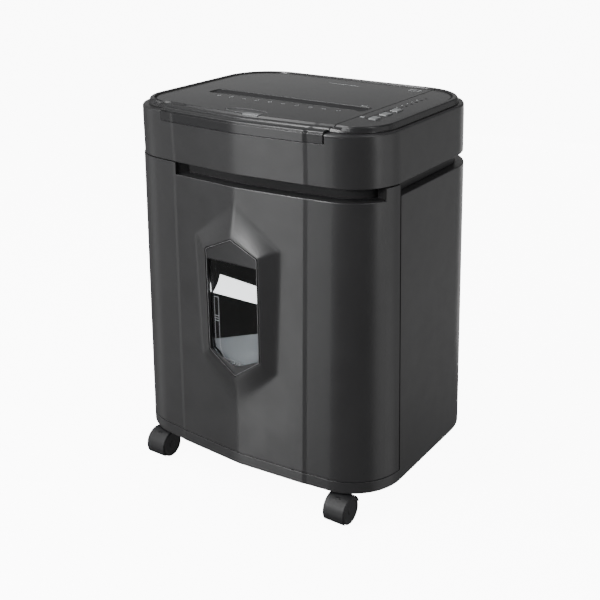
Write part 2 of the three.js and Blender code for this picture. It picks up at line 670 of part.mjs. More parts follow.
add('gear_cutter_rear', gearGeometry(TEETH.cutter, rearCutter, cutterPhase, FEED.shaft + GAP),
  STEEL, 0.4, 1);
add('gear_cutter_front', gearGeometry(TEETH.cutter, frontCutter, frontPhase, FEED.shaft + GAP),
  STEEL, 0.4, 1);
add('gear_idler', gearGeometry(TEETH.idler, idler, idlerPhase, 4.6), 0xd8d4c4, 0.5);
add('motor_pinion', gearGeometry(TEETH.pinion, motor, pinionPhase, 3 + GAP), STEEL, 0.3, 1);

function motorBody() {
  const can = rod(26, -122, -36, motor.y, motor.z, 24);
  const nose = rod(12, PLATE_X.left + GAP, -121, motor.y, motor.z, 16);
  const tail = rod(9, -37, -32, motor.y, motor.z, 16);
  const hole = rod(3 + GAP, -140, -20, motor.y, motor.z, 10);
  return cut(join(can, nose, tail), hole);
}

function fanShape() {
  const blades = Array.from({ length: 7 }, (_, i) => solid(boxGeometry([-30, -1, 4], [-22, 1, 21])
    .rotateX(Math.PI * 2 * i / 7).translate(0, motor.y, motor.z)));
  const hub = rod(6, -30, -22, motor.y, motor.z, 12);
  return cut(join(hub, ...blades), rod(3 + GAP, -31, -21, motor.y, motor.z, 10));
}

add('motor', motorBody(), 0x6d7075, 0.4, 0.8);
add('motor_shaft', rodGeometry(3, GEAR.x - 1, -21.5, motor.y, motor.z, 10), STEEL, 0.3, 1);
add('cooling_fan', fanShape(), DARK, 0.5);

// A side plate with holes for the shafts, the motor's nose and the two cross bars.
const BAR = { front: -90, rear: 92, half: 4, low: 455.3 };

function sidePlate(x) {
  const [x0, x1] = [x - 1, x + PLATE_X.thick + 1];
  const plate = block([x, -100, 404], [x + PLATE_X.thick, 100, 487]);
  const shafts = [frontCutter, rearCutter, { y: feedY.front, z: FEED.z }, { y: feedY.rear, z: FEED.z }]
    .map(({ y, z }) => rod(FEED.shaft + 0.8, x0, x1, y, z));
  const bars = [BAR.front, BAR.rear].map((y) => block([x0, y - BAR.half - GAP, BAR.low - GAP],
    [x1, y + BAR.half + GAP, BAR.low + 2 * BAR.half + GAP]));
  return cut(plate, ...shafts, ...bars);
}

const motorHole = rod(6, -140, -110, motor.y, motor.z);
const idlerPin = rod(4, PLATE_X.left - PLATE_X.thick - 12, PLATE_X.left - 1, idler.y, idler.z);
add('side_plate_left', join(sidePlate(PLATE_X.left - PLATE_X.thick).subtract(motorHole), idlerPin),
  STEEL, 0.4, 1);
add('side_plate_right', sidePlate(PLATE_X.right), STEEL, 0.4, 1);
for (const side of ['front', 'rear']) {
  add(`cross_bar_${side}`, boxGeometry([-158, BAR[side] - BAR.half, BAR.low],
    [158, BAR[side] + BAR.half, BAR.low + 2 * BAR.half]), STEEL, 0.4, 1);
}

// A belt round two pulleys: a slot-shaped ring along the line between them.
function beltGeometry(low, high) {
  const tilt = Math.atan2(high.z - low.z, high.y - low.y);
  const span = Math.hypot(high.y - low.y, high.z - low.z);
  const ring = (radius) => [
    ...arc(span, 0, radius, -Math.PI / 2, Math.PI / 2, 8),
    ...arc(0, 0, radius, Math.PI / 2, Math.PI * 1.5, 8),
  ];
  const shape = new THREE.Shape(ring(PULLEY.radius + GAP + PULLEY.beltThick));
  shape.holes.push(new THREE.Path(ring(PULLEY.radius + GAP).reverse()));
  const geometry = new THREE.ExtrudeGeometry(shape, { depth: PULLEY.width - 2, bevelEnabled: false });
  return geometry.rotateZ(tilt).rotateX(Math.PI / 2).rotateZ(Math.PI / 2)
    .translate(PULLEY.x + 1, low.y, low.z);
}

add('belt_front', beltGeometry(frontCutter, { y: feedY.front, z: FEED.z }), RUBBER, 0.9);
add('belt_rear', beltGeometry(rearCutter, { y: feedY.rear, z: FEED.z }), RUBBER, 0.9);

// ---- electrical parts ---------------------------------------------------

function circuitBoard() {
  const board = block([130, -85, 508], [176, 88, 509.6]);
  const keys = [0, 1, 2].map((i) => block([BUTTON.x - 3, BUTTON.y + i * BUTTON.pitch - 3, 509],
    [BUTTON.x + 3, BUTTON.y + i * BUTTON.pitch + 3, 514]));
  const chips = [[136, -80, 12], [160, 20, 10], [160, 50, 8]].map(([x, y, size]) => block([x, y, 509],
    [x + size, y + size, 512]));
  return join(board, ...keys, ...chips);
}

function powerSupply() {
  const core = block([149, 4, 455.2], [173, 76, 462]);
  const coil = block([150, 10, 461], [172, 42, 492]);
  const cap = post(9, 461, 488, 161, 60, 12);
  return join(core, coil, cap);
}

function powerInlet() {
  const body = rearHole(INLET, 0, 134, 155);
  const flange = rearHole(INLET, 2.5, REAR_Y + GAP, REAR_Y + 2);
  const socket = rearHole({ ...INLET, halfX: 7.5, halfZ: 4.5 }, 0, 142, 160);
  const pins = [-4, 4].map((dx) => block(
    [INLET.x + dx - 1, 141, INLET.z - 1.2], [INLET.x + dx + 1, 153, INLET.z + 1.2]));
  return join(body, flange).subtract(socket).add(join(...pins));
}

function rockerBody() {
  const body = rearHole(ROCKER, 0, 134, 155);
  const flange = rearHole(ROCKER, 2, REAR_Y + GAP, REAR_Y + 1.6);
  const well = rearHole({ ...ROCKER, halfX: 6, halfZ: 8.5 }, 0, 146, 160);
  return join(body, flange).subtract(well);
}

// The rocker is a shallow V in side view, tipping about a line across its middle.
function rockerPaddle() {
  const section = new THREE.Shape([[149, -6.6], [155.6, -7.4], [154.4, 0], [155.6, 7.4], [149, 6.6]]
    .map(([y, z]) => new THREE.Vector2(y, z + ROCKER.z)));
  return new THREE.ExtrudeGeometry(section, { depth: 11, bevelEnabled: false })
    .rotateX(Math.PI / 2).rotateZ(Math.PI / 2).translate(ROCKER.x - 5.5, 0, 0);
}

function ventGrille() {
  const face = block([GRILLE.left, REAR_Y - WALL, GRILLE.low], [GRILLE.right, REAR_Y, GRILLE.high]);
  const count = 9;
  const step = (GRILLE.right - GRILLE.left - 6) / count;
  const slots = Array.from({ length: count }, (_, i) => {
    const x = GRILLE.left + 3 + (i + 0.5) * step;
    return block([x - step / 2 + 2, 140, GRILLE.low + 3], [x + step / 2 - 2, 160, GRILLE.high - 3]);
  });
  return cut(face, ...slots);
}

function binSwitch() {
  const body = block([-14, -120, 441], [6, -110, 450.2]);
  const lever = block([-12, -123, 443], [2, -119, 444.2]);
  return join(body, lever);
}

add('circuit_board', circuitBoard(), 0x2c5a3a, 0.5);
add('power_supply', powerSupply(), 0x8b7a4d, 0.5);
add('power_inlet', powerInlet(), DARK, 0.4);
add('rocker_housing', rockerBody(), DARK, 0.4);
add('rocker_paddle', rockerPaddle(), 0x0e0e10, 0.3);
add('vent_grille', ventGrille(), DARK, 0.5);
add('bin_switch', binSwitch(), DARK, 0.5);

// ---- casters ------------------------------------------------------------

// A hood over the top and front of the wheels, on a central web, with a collar and a stem on top.
function casterHousing(x, y) {
  const wheelY = y - CASTER.trail;
  const { radius, web, height } = CASTER;
  const width = CASTER.wheel + web / 2 + 0.6;
  const disc = (r, halfWidth, sides) => rod(r, x - halfWidth, x + halfWidth, wheelY, radius, sides);
  const swept = disc(radius + 0.9, width + 1, WHEEL_SIDES);
  const underFront = block([x - 60, wheelY - 60, -60], [x + 60, wheelY + 1, 5]);
  const underRear = block([x - 60, wheelY, -60], [x + 60, wheelY + 60, radius + 4]);
  const hood = cut(disc(radius + CASTER.hood, width, WHEEL_SIDES), swept, underFront, underRear);
  const plate = cut(disc(radius - 3, web / 2, 16), disc(CASTER.axle + 0.4, web, 12));
  const rib = block([x - web / 2, wheelY - 12, radius], [x + web / 2, wheelY + 12, 2 * radius + 1.5])
    .intersect(disc(radius + 2, web, WHEEL_SIDES)).subtract(disc(CASTER.axle + 3, web, 12));
  const collar = post(8.5, 30, height - 0.8, x, y, 14).subtract(swept);
  const stem = post(STEM.radius, height - 2, height + STEM.top - Z_BASE, x, y, STEM.sides);
  const neck = block([x - web / 2, y - 8, radius + 4], [x + web / 2, y + 4, height - 2]);
  return join(hood, plate, rib, collar, neck, stem);
}

// Two wheels on one axle; the tread's flats are turned so that one lies on the floor.
function casterWheels(x, y) {
  const near = CASTER.web / 2 + 0.5;
  const far = near + CASTER.wheel;
  const tread = CASTER.radius / Math.cos(Math.PI / WHEEL_SIDES);
  const steps = [[-far, tread - 2], [1.5 - far, tread], [-near, CASTER.axle], [near, tread],
    [far - 1.5, tread - 2]];
  return turnedGeometry(steps, far, 0, 0, WHEEL_SIDES).rotateX(Math.PI / WHEEL_SIDES)
    .translate(x, y - CASTER.trail, CASTER.radius);
}

for (const [name, x, y] of casterSpots) {
  add(`caster_housing_${name}`, casterHousing(x, y), DARK, 0.5, 0, shredder);
  add(`caster_wheels_${name}`, casterWheels(x, y), DARK, 0.6, 0, shredder);
}

export default shredder;
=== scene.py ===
import math

import bmesh
import bpy
from mathutils import Matrix, Vector
from mathutils.geometry import tessellate_polygon


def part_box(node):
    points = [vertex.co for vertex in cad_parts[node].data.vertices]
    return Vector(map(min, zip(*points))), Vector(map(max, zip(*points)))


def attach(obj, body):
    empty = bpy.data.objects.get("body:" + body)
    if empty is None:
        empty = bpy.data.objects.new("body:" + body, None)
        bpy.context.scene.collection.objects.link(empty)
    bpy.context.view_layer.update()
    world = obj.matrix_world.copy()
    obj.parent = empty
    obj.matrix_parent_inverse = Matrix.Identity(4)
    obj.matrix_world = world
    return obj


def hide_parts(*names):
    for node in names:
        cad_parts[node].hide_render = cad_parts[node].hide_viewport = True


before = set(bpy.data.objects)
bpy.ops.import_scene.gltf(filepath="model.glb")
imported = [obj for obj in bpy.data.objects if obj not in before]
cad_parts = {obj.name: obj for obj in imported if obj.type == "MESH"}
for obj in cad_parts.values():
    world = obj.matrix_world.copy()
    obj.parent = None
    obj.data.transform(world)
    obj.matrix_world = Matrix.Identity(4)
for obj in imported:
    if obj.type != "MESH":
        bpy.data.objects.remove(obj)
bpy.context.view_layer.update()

# A paper shredder: finely meshed casings, window, casters and mechanism around the CAD frame.
# Sizes are millimetres in the part's own heights, which count from a datum below the base.
# Every mesh is written in metres, lowered by DROP to stand on the floor.

MM = 0.001

# ---- driving dimensions -------------------------------------------------

HALF_WIDTH = 192.5
RIDGE_Y = -152.4
CREASE_X, CREASE_Y = 98.7, -145.3
STEP_X, STEP_Y = 104.0, -144.1
FRONT_ARC_X, FRONT_ARC_Y, FRONT_RADIUS = 126.5, -75.1, 66.0
FLANK_SLOPE = 0.118
REAR_Y, REAR_RADIUS = 154.5, 80.0
REAR_ARC_X, REAR_ARC_Y = HALF_WIDTH - REAR_RADIUS, REAR_Y - REAR_RADIUS
FLARE, HEAD_DRAFT, WALL = 8.0, 3.5, 3.0
Z_BASE, Z_SEAM, Z_GRIP, Z_CABINET = 53.5, 69.4, 439.0, 440.0
Z_HEAD, Z_SHOULDER, Z_DECK, Z_TOP = 455.0, 519.0, 525.0, 526.5
DROP = Z_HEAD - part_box("head_shell")[0].z / MM
DOOR_Y, DOOR_GAP = -76.8, 2.0
GRIP_DEPTH, GRIP_START, GRIP_RAMP, GRIP_ANGLE = 18.0, 3.5, 9.0, -24.0
PATH_X = -6.0
SLOT_Y, SLOT_HALF, SLOT_WIDTH = -34.0, 121.0, 9.0
MOUTH = {"left": -128.0, "right": 115.0, "near": -38.5, "far": -12.0}
SEAM_LID, SEAM_PANEL = 124.0, 125.4
LIP_LEFT, LIP_LOW, LIP_PROUD = -122.0, 507.0, 0.8
HINGE_Y, HINGE_Z = 134.0, 519.5
ROD_Y, ROD_Z = 72, 514
DISH_X, DISH_Y, DISH_RX, DISH_RY = -9.0, -109.3, 32.0, 11.6
LATCH_X, LATCH_Y, LATCH_HALF = 8.0, -121.0, 12.0
BUTTON_X, BUTTON_Y, BUTTON_PITCH, BUTTON_SIZE = 147.0, -64.0, 26.5, (11.0, 14.0)
LED_X, LED_Y, LED_PITCH, LED_COUNT = 145.0, 6.0, 13.3, 6
BOSS_Y = -162.5
BOSS = {"x": 42.5, "top": 376.0, "shoulder": 356.5, "foot": 213.0, "bottom": 183.0}
BOSS_ROOT = {"x": 63.0, "top": 415.6, "shoulder": 369.0, "foot": 207.0, "bottom": 138.7}
WINDOW_BORDER, WINDOW_LOW, WINDOW_HIGH = 4.0, 199.0, 341.0
CUTTER_Z, CUTTER_APART, CUTTER_PITCH, CUTTER_COUNT = 425.0, 29.0, 23.2, 10
FEED_Z, FEED_SPREAD = 481.0, 22.0
ARC_STEPS = 24


# ---- materials ----------------------------------------------------------

FINISH = "_finish"
PURE_WHITE = (1.0, 1.0, 1.0, 1.0)


def sockets_of(material):
    return material.node_tree.nodes["Principled BSDF"].inputs


def new_material(name, color, roughness, metallic=0.0, **sockets):
    material = bpy.data.materials.new(name + FINISH)
    material.use_nodes = True
    inputs = sockets_of(material)
    inputs["Base Color"].default_value = (*color, 1.0)
    inputs["Roughness"].default_value = roughness
    inputs["Metallic"].default_value = metallic
    for socket, value in sockets.items():
        inputs[socket.replace("_", " ")].default_value = value
    return material


def add_node(material, kind, source, socket, **values):
    """A shader node with a source linked to one of its sockets and constant values on others."""
    node = material.node_tree.nodes.new(kind)
    for name, value in values.items():
        node.inputs[name.replace("_", " ")].default_value = value
    material.node_tree.links.new(source, node.inputs[socket])
    return node


def feed(material, source, socket):
    """Links a node's output to a socket of the material's main shader."""
    material.node_tree.links.new(source, sockets_of(material)[socket])


def noise(material, scale, detail=3.0, stretch=(1.0, 1.0, 1.0)):
    place = material.node_tree.nodes.new("ShaderNodeTexCoord").outputs["Object"]
    mapped = add_node(material, "ShaderNodeMapping", place, "Vector", Scale=stretch).outputs["Vector"]
    texture = add_node(material, "ShaderNodeTexNoise", mapped, "Vector", Scale=scale, Detail=detail)
    return texture.outputs["Fac"]


def spread(material, source, low, high):
    """A noise value mapped to the range from low to high."""
    node = add_node(material, "ShaderNodeMapRange", source, "Value",
                    From_Min=0.3, From_Max=0.7, To_Min=low, To_Max=high)
    return node.outputs["Result"]


def tint(material, source, color, darker, lighter):
    """Varies a colour between two shares of itself."""
    node = add_node(material, "ShaderNodeValToRGB", source, "Fac")
    for stop, position, share in zip(node.color_ramp.elements, (0.35, 0.65), (darker, lighter)):
        stop.position = position
        stop.color = (*(c * share for c in color), 1.0)
    feed(material, node.outputs["Color"], "Base Color")


def grain(material, source, strength, distance):
    bump = add_node(material, "ShaderNodeBump", source, "Height", Strength=strength, Distance=distance)
    feed(material, bump.outputs["Normal"], "Normal")


def plastic(name, color, roughness, grain_size=1400.0, depth=0.00004, rough=0.2, vary=0.06, worn=0.03,
            **sockets):
    """Moulded plastic: a fine spark-eroded grain, faint cloudiness and slightly uneven gloss."""
    material = new_material(name, color, roughness, **sockets)
    tint(material, noise(material, scale=9.0), color, 1 - vary, 1 + vary)
    uneven = spread(material, noise(material, scale=35.0), roughness - worn, roughness + worn)
    feed(material, uneven, "Roughness")
    grain(material, noise(material, grain_size, detail=2.0), rough, depth)
    return material


def metal(name, color, roughness, stretch=(1.0, 1.0, 1.0)):
    """Machined or plated steel with fine drawn lines and faint stains."""
    material = new_material(name, color, roughness, metallic=1.0)
    tint(material, noise(material, scale=30.0), color, 0.85, 1.08)
    lines = noise(material, 900.0, 2.0, stretch)
    feed(material, spread(material, lines, roughness - 0.07, roughness + 0.1), "Roughness")
    grain(material, lines, strength=0.2, distance=0.00002)
    return material


def clear_plastic():
    material = new_material("clear_window", (0.9, 0.92, 0.93), 0.03, Transmission_Weight=1.0, IOR=1.45)
    feed(material, spread(material, noise(material, scale=40.0), 0.02, 0.05), "Roughness")
    return material


CASING = plastic("casing", (0.026, 0.026, 0.027), 0.34)
GLOSS = plastic("gloss_casing", (0.022, 0.022, 0.023), 0.26, depth=0.00001, rough=0.04, vary=0.03,
                worn=0.004, Specular_IOR_Level=0.4)
DARK = plastic("dark_plastic", (0.011, 0.011, 0.012), 0.45)
CLEAR = clear_plastic()
GREY = plastic("button_grey", (0.20, 0.205, 0.21), 0.38)
PRINT = plastic("pale_print", (0.40, 0.41, 0.42), 0.45)
# painted shade: a flat dark grey with little gloss, laid in the finger recess and the slot's mouth where they
# lie in shadow
PAINTED_SHADE = plastic("painted_shade_dark", (0.034, 0.034, 0.035), 0.8, Specular_IOR_Level=0.1)
# painted highlight: a pale, faintly glowing grey for the glints on the clear moulding's edges
PAINTED_GLINT = plastic("painted_edge_glint", (0.52, 0.53, 0.55), 0.3, Emission_Color=PURE_WHITE, Emission_Strength=0.12)
INLAY = plastic("inlay", (0.050, 0.050, 0.052), 0.3)
# painted highlight: a pale grey for the fine lines of light on the bezel's rim and round the dish
PAINTED_HIGHLIGHT = plastic("trim", (0.15, 0.15, 0.155), 0.3)
INDICATOR = plastic("indicator", (0.006, 0.006, 0.007), 0.15)
STEEL = metal("steel", (0.55, 0.57, 0.59), 0.32, (0.05, 1.0, 1.0))
CUTTER = metal("cutter_steel", (0.33, 0.34, 0.36), 0.3)
RUBBER = plastic("roller_rubber", (0.014, 0.014, 0.015), 0.75, 700.0, 0.0001)
NYLON = plastic("gear_nylon", (0.62, 0.58, 0.47), 0.42)
PAINT = plastic("motor_can", (0.10, 0.105, 0.11), 0.38, 500.0, Metallic=0.5)
BOARD = plastic("board", (0.02, 0.10, 0.04), 0.35)
VARNISH = plastic("transformer", (0.24, 0.16, 0.06), 0.4)
CASTER = plastic("caster_nylon", (0.015, 0.015, 0.016), 0.5, Specular_IOR_Level=0.35)
# painted reflection: a glowing white sheet behind the pane stands for a softbox mirrored in the curved window
PAINTED_REFLECTION = plastic("painted_reflection_band", (0.86, 0.87, 0.88), 0.35, Emission_Color=PURE_WHITE, Emission_Strength=2.2)
# painted light: a pale grey sheet stands for the light seen low in the window
PAINTED_LIGHT_GREY = plastic("painted_light_band", (0.42, 0.44, 0.46), 0.3)


# ---- mesh building ------------------------------------------------------

SHARP_ANGLE = math.radians(32.0)
WELD = 0.002 * MM


def place(points):
    return [(x * MM, y * MM, (z - DROP) * MM) for x, y, z in points]


def mesh_of(name, build, material):
    """An object with the mesh that build(bm) makes, welded and smooth but for its sharp edges."""
    bm = bmesh.new()
    build(bm)
    bmesh.ops.remove_doubles(bm, verts=bm.verts, dist=WELD)
    bmesh.ops.dissolve_degenerate(bm, edges=bm.edges, dist=WELD)
    bmesh.ops.recalc_face_normals(bm, faces=bm.faces)
    mesh = bpy.data.meshes.new(name)
    bm.to_mesh(mesh)
    bm.free()
    piece = bpy.data.objects.new(name, mesh)
    bpy.context.scene.collection.objects.link(piece)
    mesh.materials.append(material)
    mesh.shade_smooth()
    mesh.set_sharp_from_angle(angle=SHARP_ANGLE)
    return piece


def add_loft(bm, rings, wrap_rings=False, wrap_points=True, caps=True):
    """Faces between rings of equally many points. A ring is a list of (x, y, z)."""
    layers = [[bm.verts.new(p) for p in place(ring)] for ring in rings]
    count = len(layers[0])
    pairs = list(zip(layers, layers[1:]))
    if wrap_rings:
        pairs.append((layers[-1], layers[0]))
    for a, b in pairs:
        for i in range(count if wrap_points else count - 1):
            j = (i + 1) % count
            bm.faces.new((a[i], a[j], b[j], b[i]))
    if caps and not wrap_rings:
        bm.faces.new(list(reversed(layers[0])))
        bm.faces.new(layers[-1])
    return layers


def rect(x0, y0, x1, y1):
    return [(x0, y0), (x1, y0), (x1, y1), (x0, y1)]


def circle(cx, cy, rx, ry, count=40):
    return [(cx + rx * math.cos(2 * math.pi * k / count), cy + ry * math.sin(2 * math.pi * k / count))
            for k in range(count)]


def rounded(corners, steps=5):
    """A closed outline of 2-D corners (u, v, radius). A radius of None gives one plain point."""
    points = []
    count = len(corners)
    for i, (u, v, radius) in enumerate(corners):
        here = Vector((u, v))
        if radius is None:
            points.append((u, v))
            continue
        before = (Vector(corners[i - 1][:2]) - here).normalized()
        after = (Vector(corners[(i + 1) % count][:2]) - here).normalized()
        turn = math.acos(max(-1.0, min(1.0, before.dot(after))))
        if radius < 0.001 or turn > math.pi - 0.02:
            points.extend([(u, v)] * (steps + 1))
            continue
        reach = radius / math.tan(turn / 2)
        centre = here + (before + after).normalized() * (radius / math.sin(turn / 2))
        start, end = here + before * reach - centre, here + after * reach - centre
        sweep = start.angle_signed(end)
        for k in range(steps + 1):
            spot = centre + Matrix.Rotation(-sweep * k / steps, 2) @ start
            points.append((spot.x, spot.y))
    return points


def rounded_block(bm, low, high, radius=0.6, steps=3):
    """A block whose twelve edges are rounded, from low to high corner."""
    (x0, y0, z0), (x1, y1, z1) = low, high
    radius = min(radius, (x1 - x0) / 2.1, (y1 - y0) / 2.1, (z1 - z0) / 2.1)
    rings = []
    for start, upper in ((z0, False), (z1 - radius, True)):
        for k in range(steps + 1):
            turn = math.pi / 2 * (k / steps if upper else 1 - k / steps)
            inset = radius * (1 - math.cos(turn))
            z = start + radius * (math.sin(turn) if upper else 1 - math.sin(turn))
            corner = max(radius - inset, 0.0)
            box = rect(x0 + inset, y0 + inset, x1 - inset, y1 - inset)
            rings.append([(x, y, z) for x, y in rounded([(x, y, corner) for x, y in box], steps)])
    add_loft(bm, rings)


def flat_ring(bm, outer, inner, low, high):
    """A level ring between two plan outlines of equally many points."""
    add_loft(bm, [[(ox, oy, low), (ox, oy, high), (ix, iy, high), (ix, iy, low)]
                  for (ox, oy), (ix, iy) in zip(outer, inner)], wrap_rings=True)


def add_turned(bm, profile, centre, sides, axis="x"):
    """A closed turned body: profile is [(along, radius)] from end to end."""
    cx, cy, cz = centre
    rings = []
    for along, radius in profile:
        ring = circle(0.0, 0.0, radius, radius, sides)
        rings.append([(cx + along, cy + a, cz + b) if axis == "x" else (cx + a, cy + b, cz + along)
                      for a, b in ring])
    add_loft(bm, rings)


def turned_profile(corners):
    """Rounds the corners (along, radius, fillet) of an open profile."""
    below = -50.0
    closed = [(corners[0][0], below, None), *corners, (corners[-1][0], below, None)]
    return [p for p in rounded(closed, 3) if p[1] > below + 1.0]


def rod(bm, start, end, radius, fillet, centre, sides=48):
    """A round bar along x with rounded ends."""
    add_turned(bm, turned_profile([(start, radius, fillet), (end, radius, fillet)]), centre, sides)


def even_normals(piece):
    piece.modifiers.new("normals", "WEIGHTED_NORMAL").keep_sharp = True


def piece_of(name, build, material, body, replaced=()):
    """Builds a mesh with build(bm), gives it its material, its CAD body and the CAD nodes it stands for."""
    piece = mesh_of(name, build, material)
    even_normals(piece)
    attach(piece, body)
    if replaced:
        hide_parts(*replaced)
    return piece


def cut_out(piece, build):
    """Cuts the closed bodies that build(bm) makes out of a piece."""
    tool = mesh_of(piece.name + "_tool", build, piece.data.materials[0])
    piece.modifiers.clear()
    modifier = piece.modifiers.new("cut", "BOOLEAN")
    modifier.operation = "DIFFERENCE"
    modifier.solver = "EXACT"
    modifier.object = tool
    evaluated = piece.evaluated_get(bpy.context.evaluated_depsgraph_get())
    mesh = bpy.data.meshes.new_from_object(evaluated)
    piece.modifiers.clear()
    old, piece.data = piece.data, mesh
    bpy.data.meshes.remove(old)
    bpy.data.objects.remove(tool)
    mesh.set_sharp_from_angle(angle=SHARP_ANGLE)
    even_normals(piece)


# ---- body outline -------------------------------------------------------

BEZEL_HALF, CREASE_FROM, CREASE_TO, FLANK_END = 68, 94, 107, 131
ZONES = ("front", "corner", "side", "rear_corner", "rear")


def raw_front(x):
    """The front face's y at a distance x from the ridge, with sharp corners."""
    arc_start = (FRONT_ARC_X + FRONT_RADIUS * math.sin(math.atan(FLANK_SLOPE)),
                 FRONT_ARC_Y - FRONT_RADIUS * math.cos(math.atan(FLANK_SLOPE)))
    knots = [(0.0, RIDGE_Y), (CREASE_X, CREASE_Y), (STEP_X, STEP_Y), arc_start]
    for (x0, y0), (x1, y1) in zip(knots, knots[1:]):
        if x <= x1 or (x1, y1) == arc_start:
            return y0 + (y1 - y0) * (x - x0) / (x1 - x0)
    return y1


def front_y(x):
    """The front face with its ridge and creases softened."""
    soft = 3.5 if abs(x) < 12 else 0.8
    shares = [k / 4 for k in range(-4, 5)]
    return sum(raw_front(abs(x + share * soft)) for share in shares) / len(shares)


def straight_in(x, y, nx, ny):
    """A column of the outline: its plan point at an inset, moved along (nx, ny)."""
    return lambda inset: (x + nx * inset, y + ny * inset)


def arc_column(cx, cy, radius, angle, mirror):
    ux, uy = math.cos(angle), math.sin(angle)
    return lambda inset: (mirror * (cx + (radius - inset) * ux), cy + (radius - inset) * uy)


def spaced(start, end, step):
    count = max(1, round(abs(end - start) / step))
    return [start + (end - start) * k / count for k in range(count)]


def make_column(side, key):
    """The column for a key (zone, value): an x in front and at the rear, a y at the side, or an angle."""
    zone, value = key
    if zone == "front":
        return straight_in(side * value, front_y(value), 0, 1)
    if zone == "corner":
        return arc_column(FRONT_ARC_X, FRONT_ARC_Y, FRONT_RADIUS, math.radians(value), side)
    if zone == "side":
        return straight_in(side * HALF_WIDTH, value, -side, 0)
    if zone == "rear_corner":
        return arc_column(REAR_ARC_X, REAR_ARC_Y, REAR_RADIUS, math.radians(value), side)
    return straight_in(side * value, REAR_Y, 0, -1)


def half_keys(fine):
    """The keys from the ridge to the middle of the rear. Columns are close together at the crease."""
    front = spaced(0, BEZEL_HALF, fine) + spaced(BEZEL_HALF, CREASE_FROM, 4)
    front += spaced(CREASE_FROM, CREASE_TO, 0.5) + spaced(CREASE_TO, FLANK_END, 4)
    start = -90 + math.degrees(math.atan(FLANK_SLOPE))
    steps = range(ARC_STEPS + 1)
    values = (front, [start + (0 - start) * k / ARC_STEPS for k in steps],
              spaced(FRONT_ARC_Y, REAR_ARC_Y, 12)[1:], [90 * k / ARC_STEPS for k in steps],
              spaced(REAR_ARC_X, 0, 12)[1:])
    return [(zone, value) for zone, found in zip(ZONES, values) for value in found]


def rank(key):
    zone, value = key
    return (ZONES.index(zone), -value if zone == "rear" else value)


def far_enough(key, added):
    """Whether an outline column is far enough from an added one to keep."""
    return key[0] != added[0] or abs(key[1] - added[1]) > 0.45


def edge_at(side, zone, value, half=0.02):
    """Two columns just to either side of a value, between which the shape may step."""
    return [(side, (zone, value - half)), (side, (zone, value + half))]


def whole_outline(fine, extra=()):
    """All columns round the body, anticlockwise from above: (side, key, column).

    extra is a list of (side, key) columns to add, such as the two sides of an edge."""
    halves = {}
    for side in (1, -1):
        added = [key for s, key in extra if s == side]
        keys = [key for key in half_keys(fine) if all(far_enough(key, other) for other in added)]
        halves[side] = [(side, key, make_column(side, key)) for key in sorted(keys + added, key=rank)]
    middle = [(1, ("rear", 0.0), make_column(1, ("rear", 0.0)))]
    left = [e for e in halves[-1] if e[1] != ("front", 0.0)]
    return halves[1] + middle + list(reversed(left))


def flare_at(z):
    return -FLARE * (Z_CABINET - z) / (Z_CABINET - Z_BASE)


def column_ring(column, profile, flared=False, shift=None):
    ring = []
    for z, inset in profile:
        x, y = column(inset + (flare_at(z) if flared else 0.0))
        ring.append((x, shift(x, y, z, inset) if shift else y, z))
    return ring


def rows(low, high, step):
    return [(z, 0.0, None) for z in spaced(low, high, step)]


# ---- cabinet ------------------------------------------------------------


def in_front(key, corner_angle):
    """Whether a column is in front of an angle on the front corner."""
    return key[0] == "front" or (key[0] == "corner" and key[1] <= corner_angle)


SEAM_ANGLE = math.degrees(math.asin((DOOR_Y - FRONT_ARC_Y) / FRONT_RADIUS))
DOOR_ANGLE = math.degrees(math.asin((DOOR_Y - DOOR_GAP - FRONT_ARC_Y) / FRONT_RADIUS))


def cabinet(bm):
    """The casing's skin: full height behind the door's seam, and a low sill below the door."""
    rear_loop = rounded([
        (Z_BASE, 0, 0.9), (Z_SEAM, 0, 0), (200, 0, None), (320, 0, None), (Z_CABINET, 0, 1.3),
        (Z_CABINET, 15, 0.5), (Z_CABINET - WALL, 15, None), (Z_CABINET - WALL, WALL, None),
        (Z_SEAM, WALL, None), (Z_BASE, WALL, 0.4)])
    front_loop = rounded([
        (Z_BASE, 0, 0.9), (Z_BASE + 6, 0, 0), (Z_BASE + 10, 0, None), (Z_BASE + 13, 0, None),
        (Z_SEAM, 0, 0.7), (Z_SEAM, WALL, 0.0), (Z_SEAM - 2, WALL, None), (Z_SEAM - 4, WALL, None),
        (Z_SEAM - 6, WALL, None), (Z_BASE, WALL, 0.4)])
    extra = edge_at(1, "corner", SEAM_ANGLE) + edge_at(-1, "corner", SEAM_ANGLE)
    add_loft(bm, [column_ring(column, front_loop if in_front(key, SEAM_ANGLE) else rear_loop, True)
                  for _, key, column in whole_outline(14.0, extra)], wrap_rings=True)


def neck(bm):
    """The dark recessed neck between cabinet and head, set further back at the front."""
    inside = [(s, ("corner", -0.5 + d)) for s in (1, -1) for d in (0.0, 0.3)]
    low, high = Z_CABINET + 0.3, Z_HEAD - 0.3
    front_depth, side_depth = 24.0, 12.0
    rings = []
    for _, key, column in whole_outline(20.0, inside):
        depth = front_depth if in_front(key, -0.4) else side_depth
        back = depth + WALL
        loop = rounded([(low, depth, 0.5), (high, depth, 0.5), (high, back, None), (low, back, None)])
        rings.append(column_ring(column, loop))
    add_loft(bm, rings, wrap_rings=True)


# ---- door with its raised hexagon ---------------------------------------

BEZEL_LOW, BEZEL_HIGH = 130, 424
CUT_FRONT, CUT_BACK = -175, -125


def hexagon(shape, grow=0.0):
    x = shape["x"] + grow
    shoulder, foot = shape["shoulder"] + grow * 0.6, shape["foot"] - grow * 0.6
    return [(0.0, shape["top"] + grow), (-x, shoulder), (-x, foot), (0.0, shape["bottom"] - grow), (x, foot),
            (x, shoulder)]


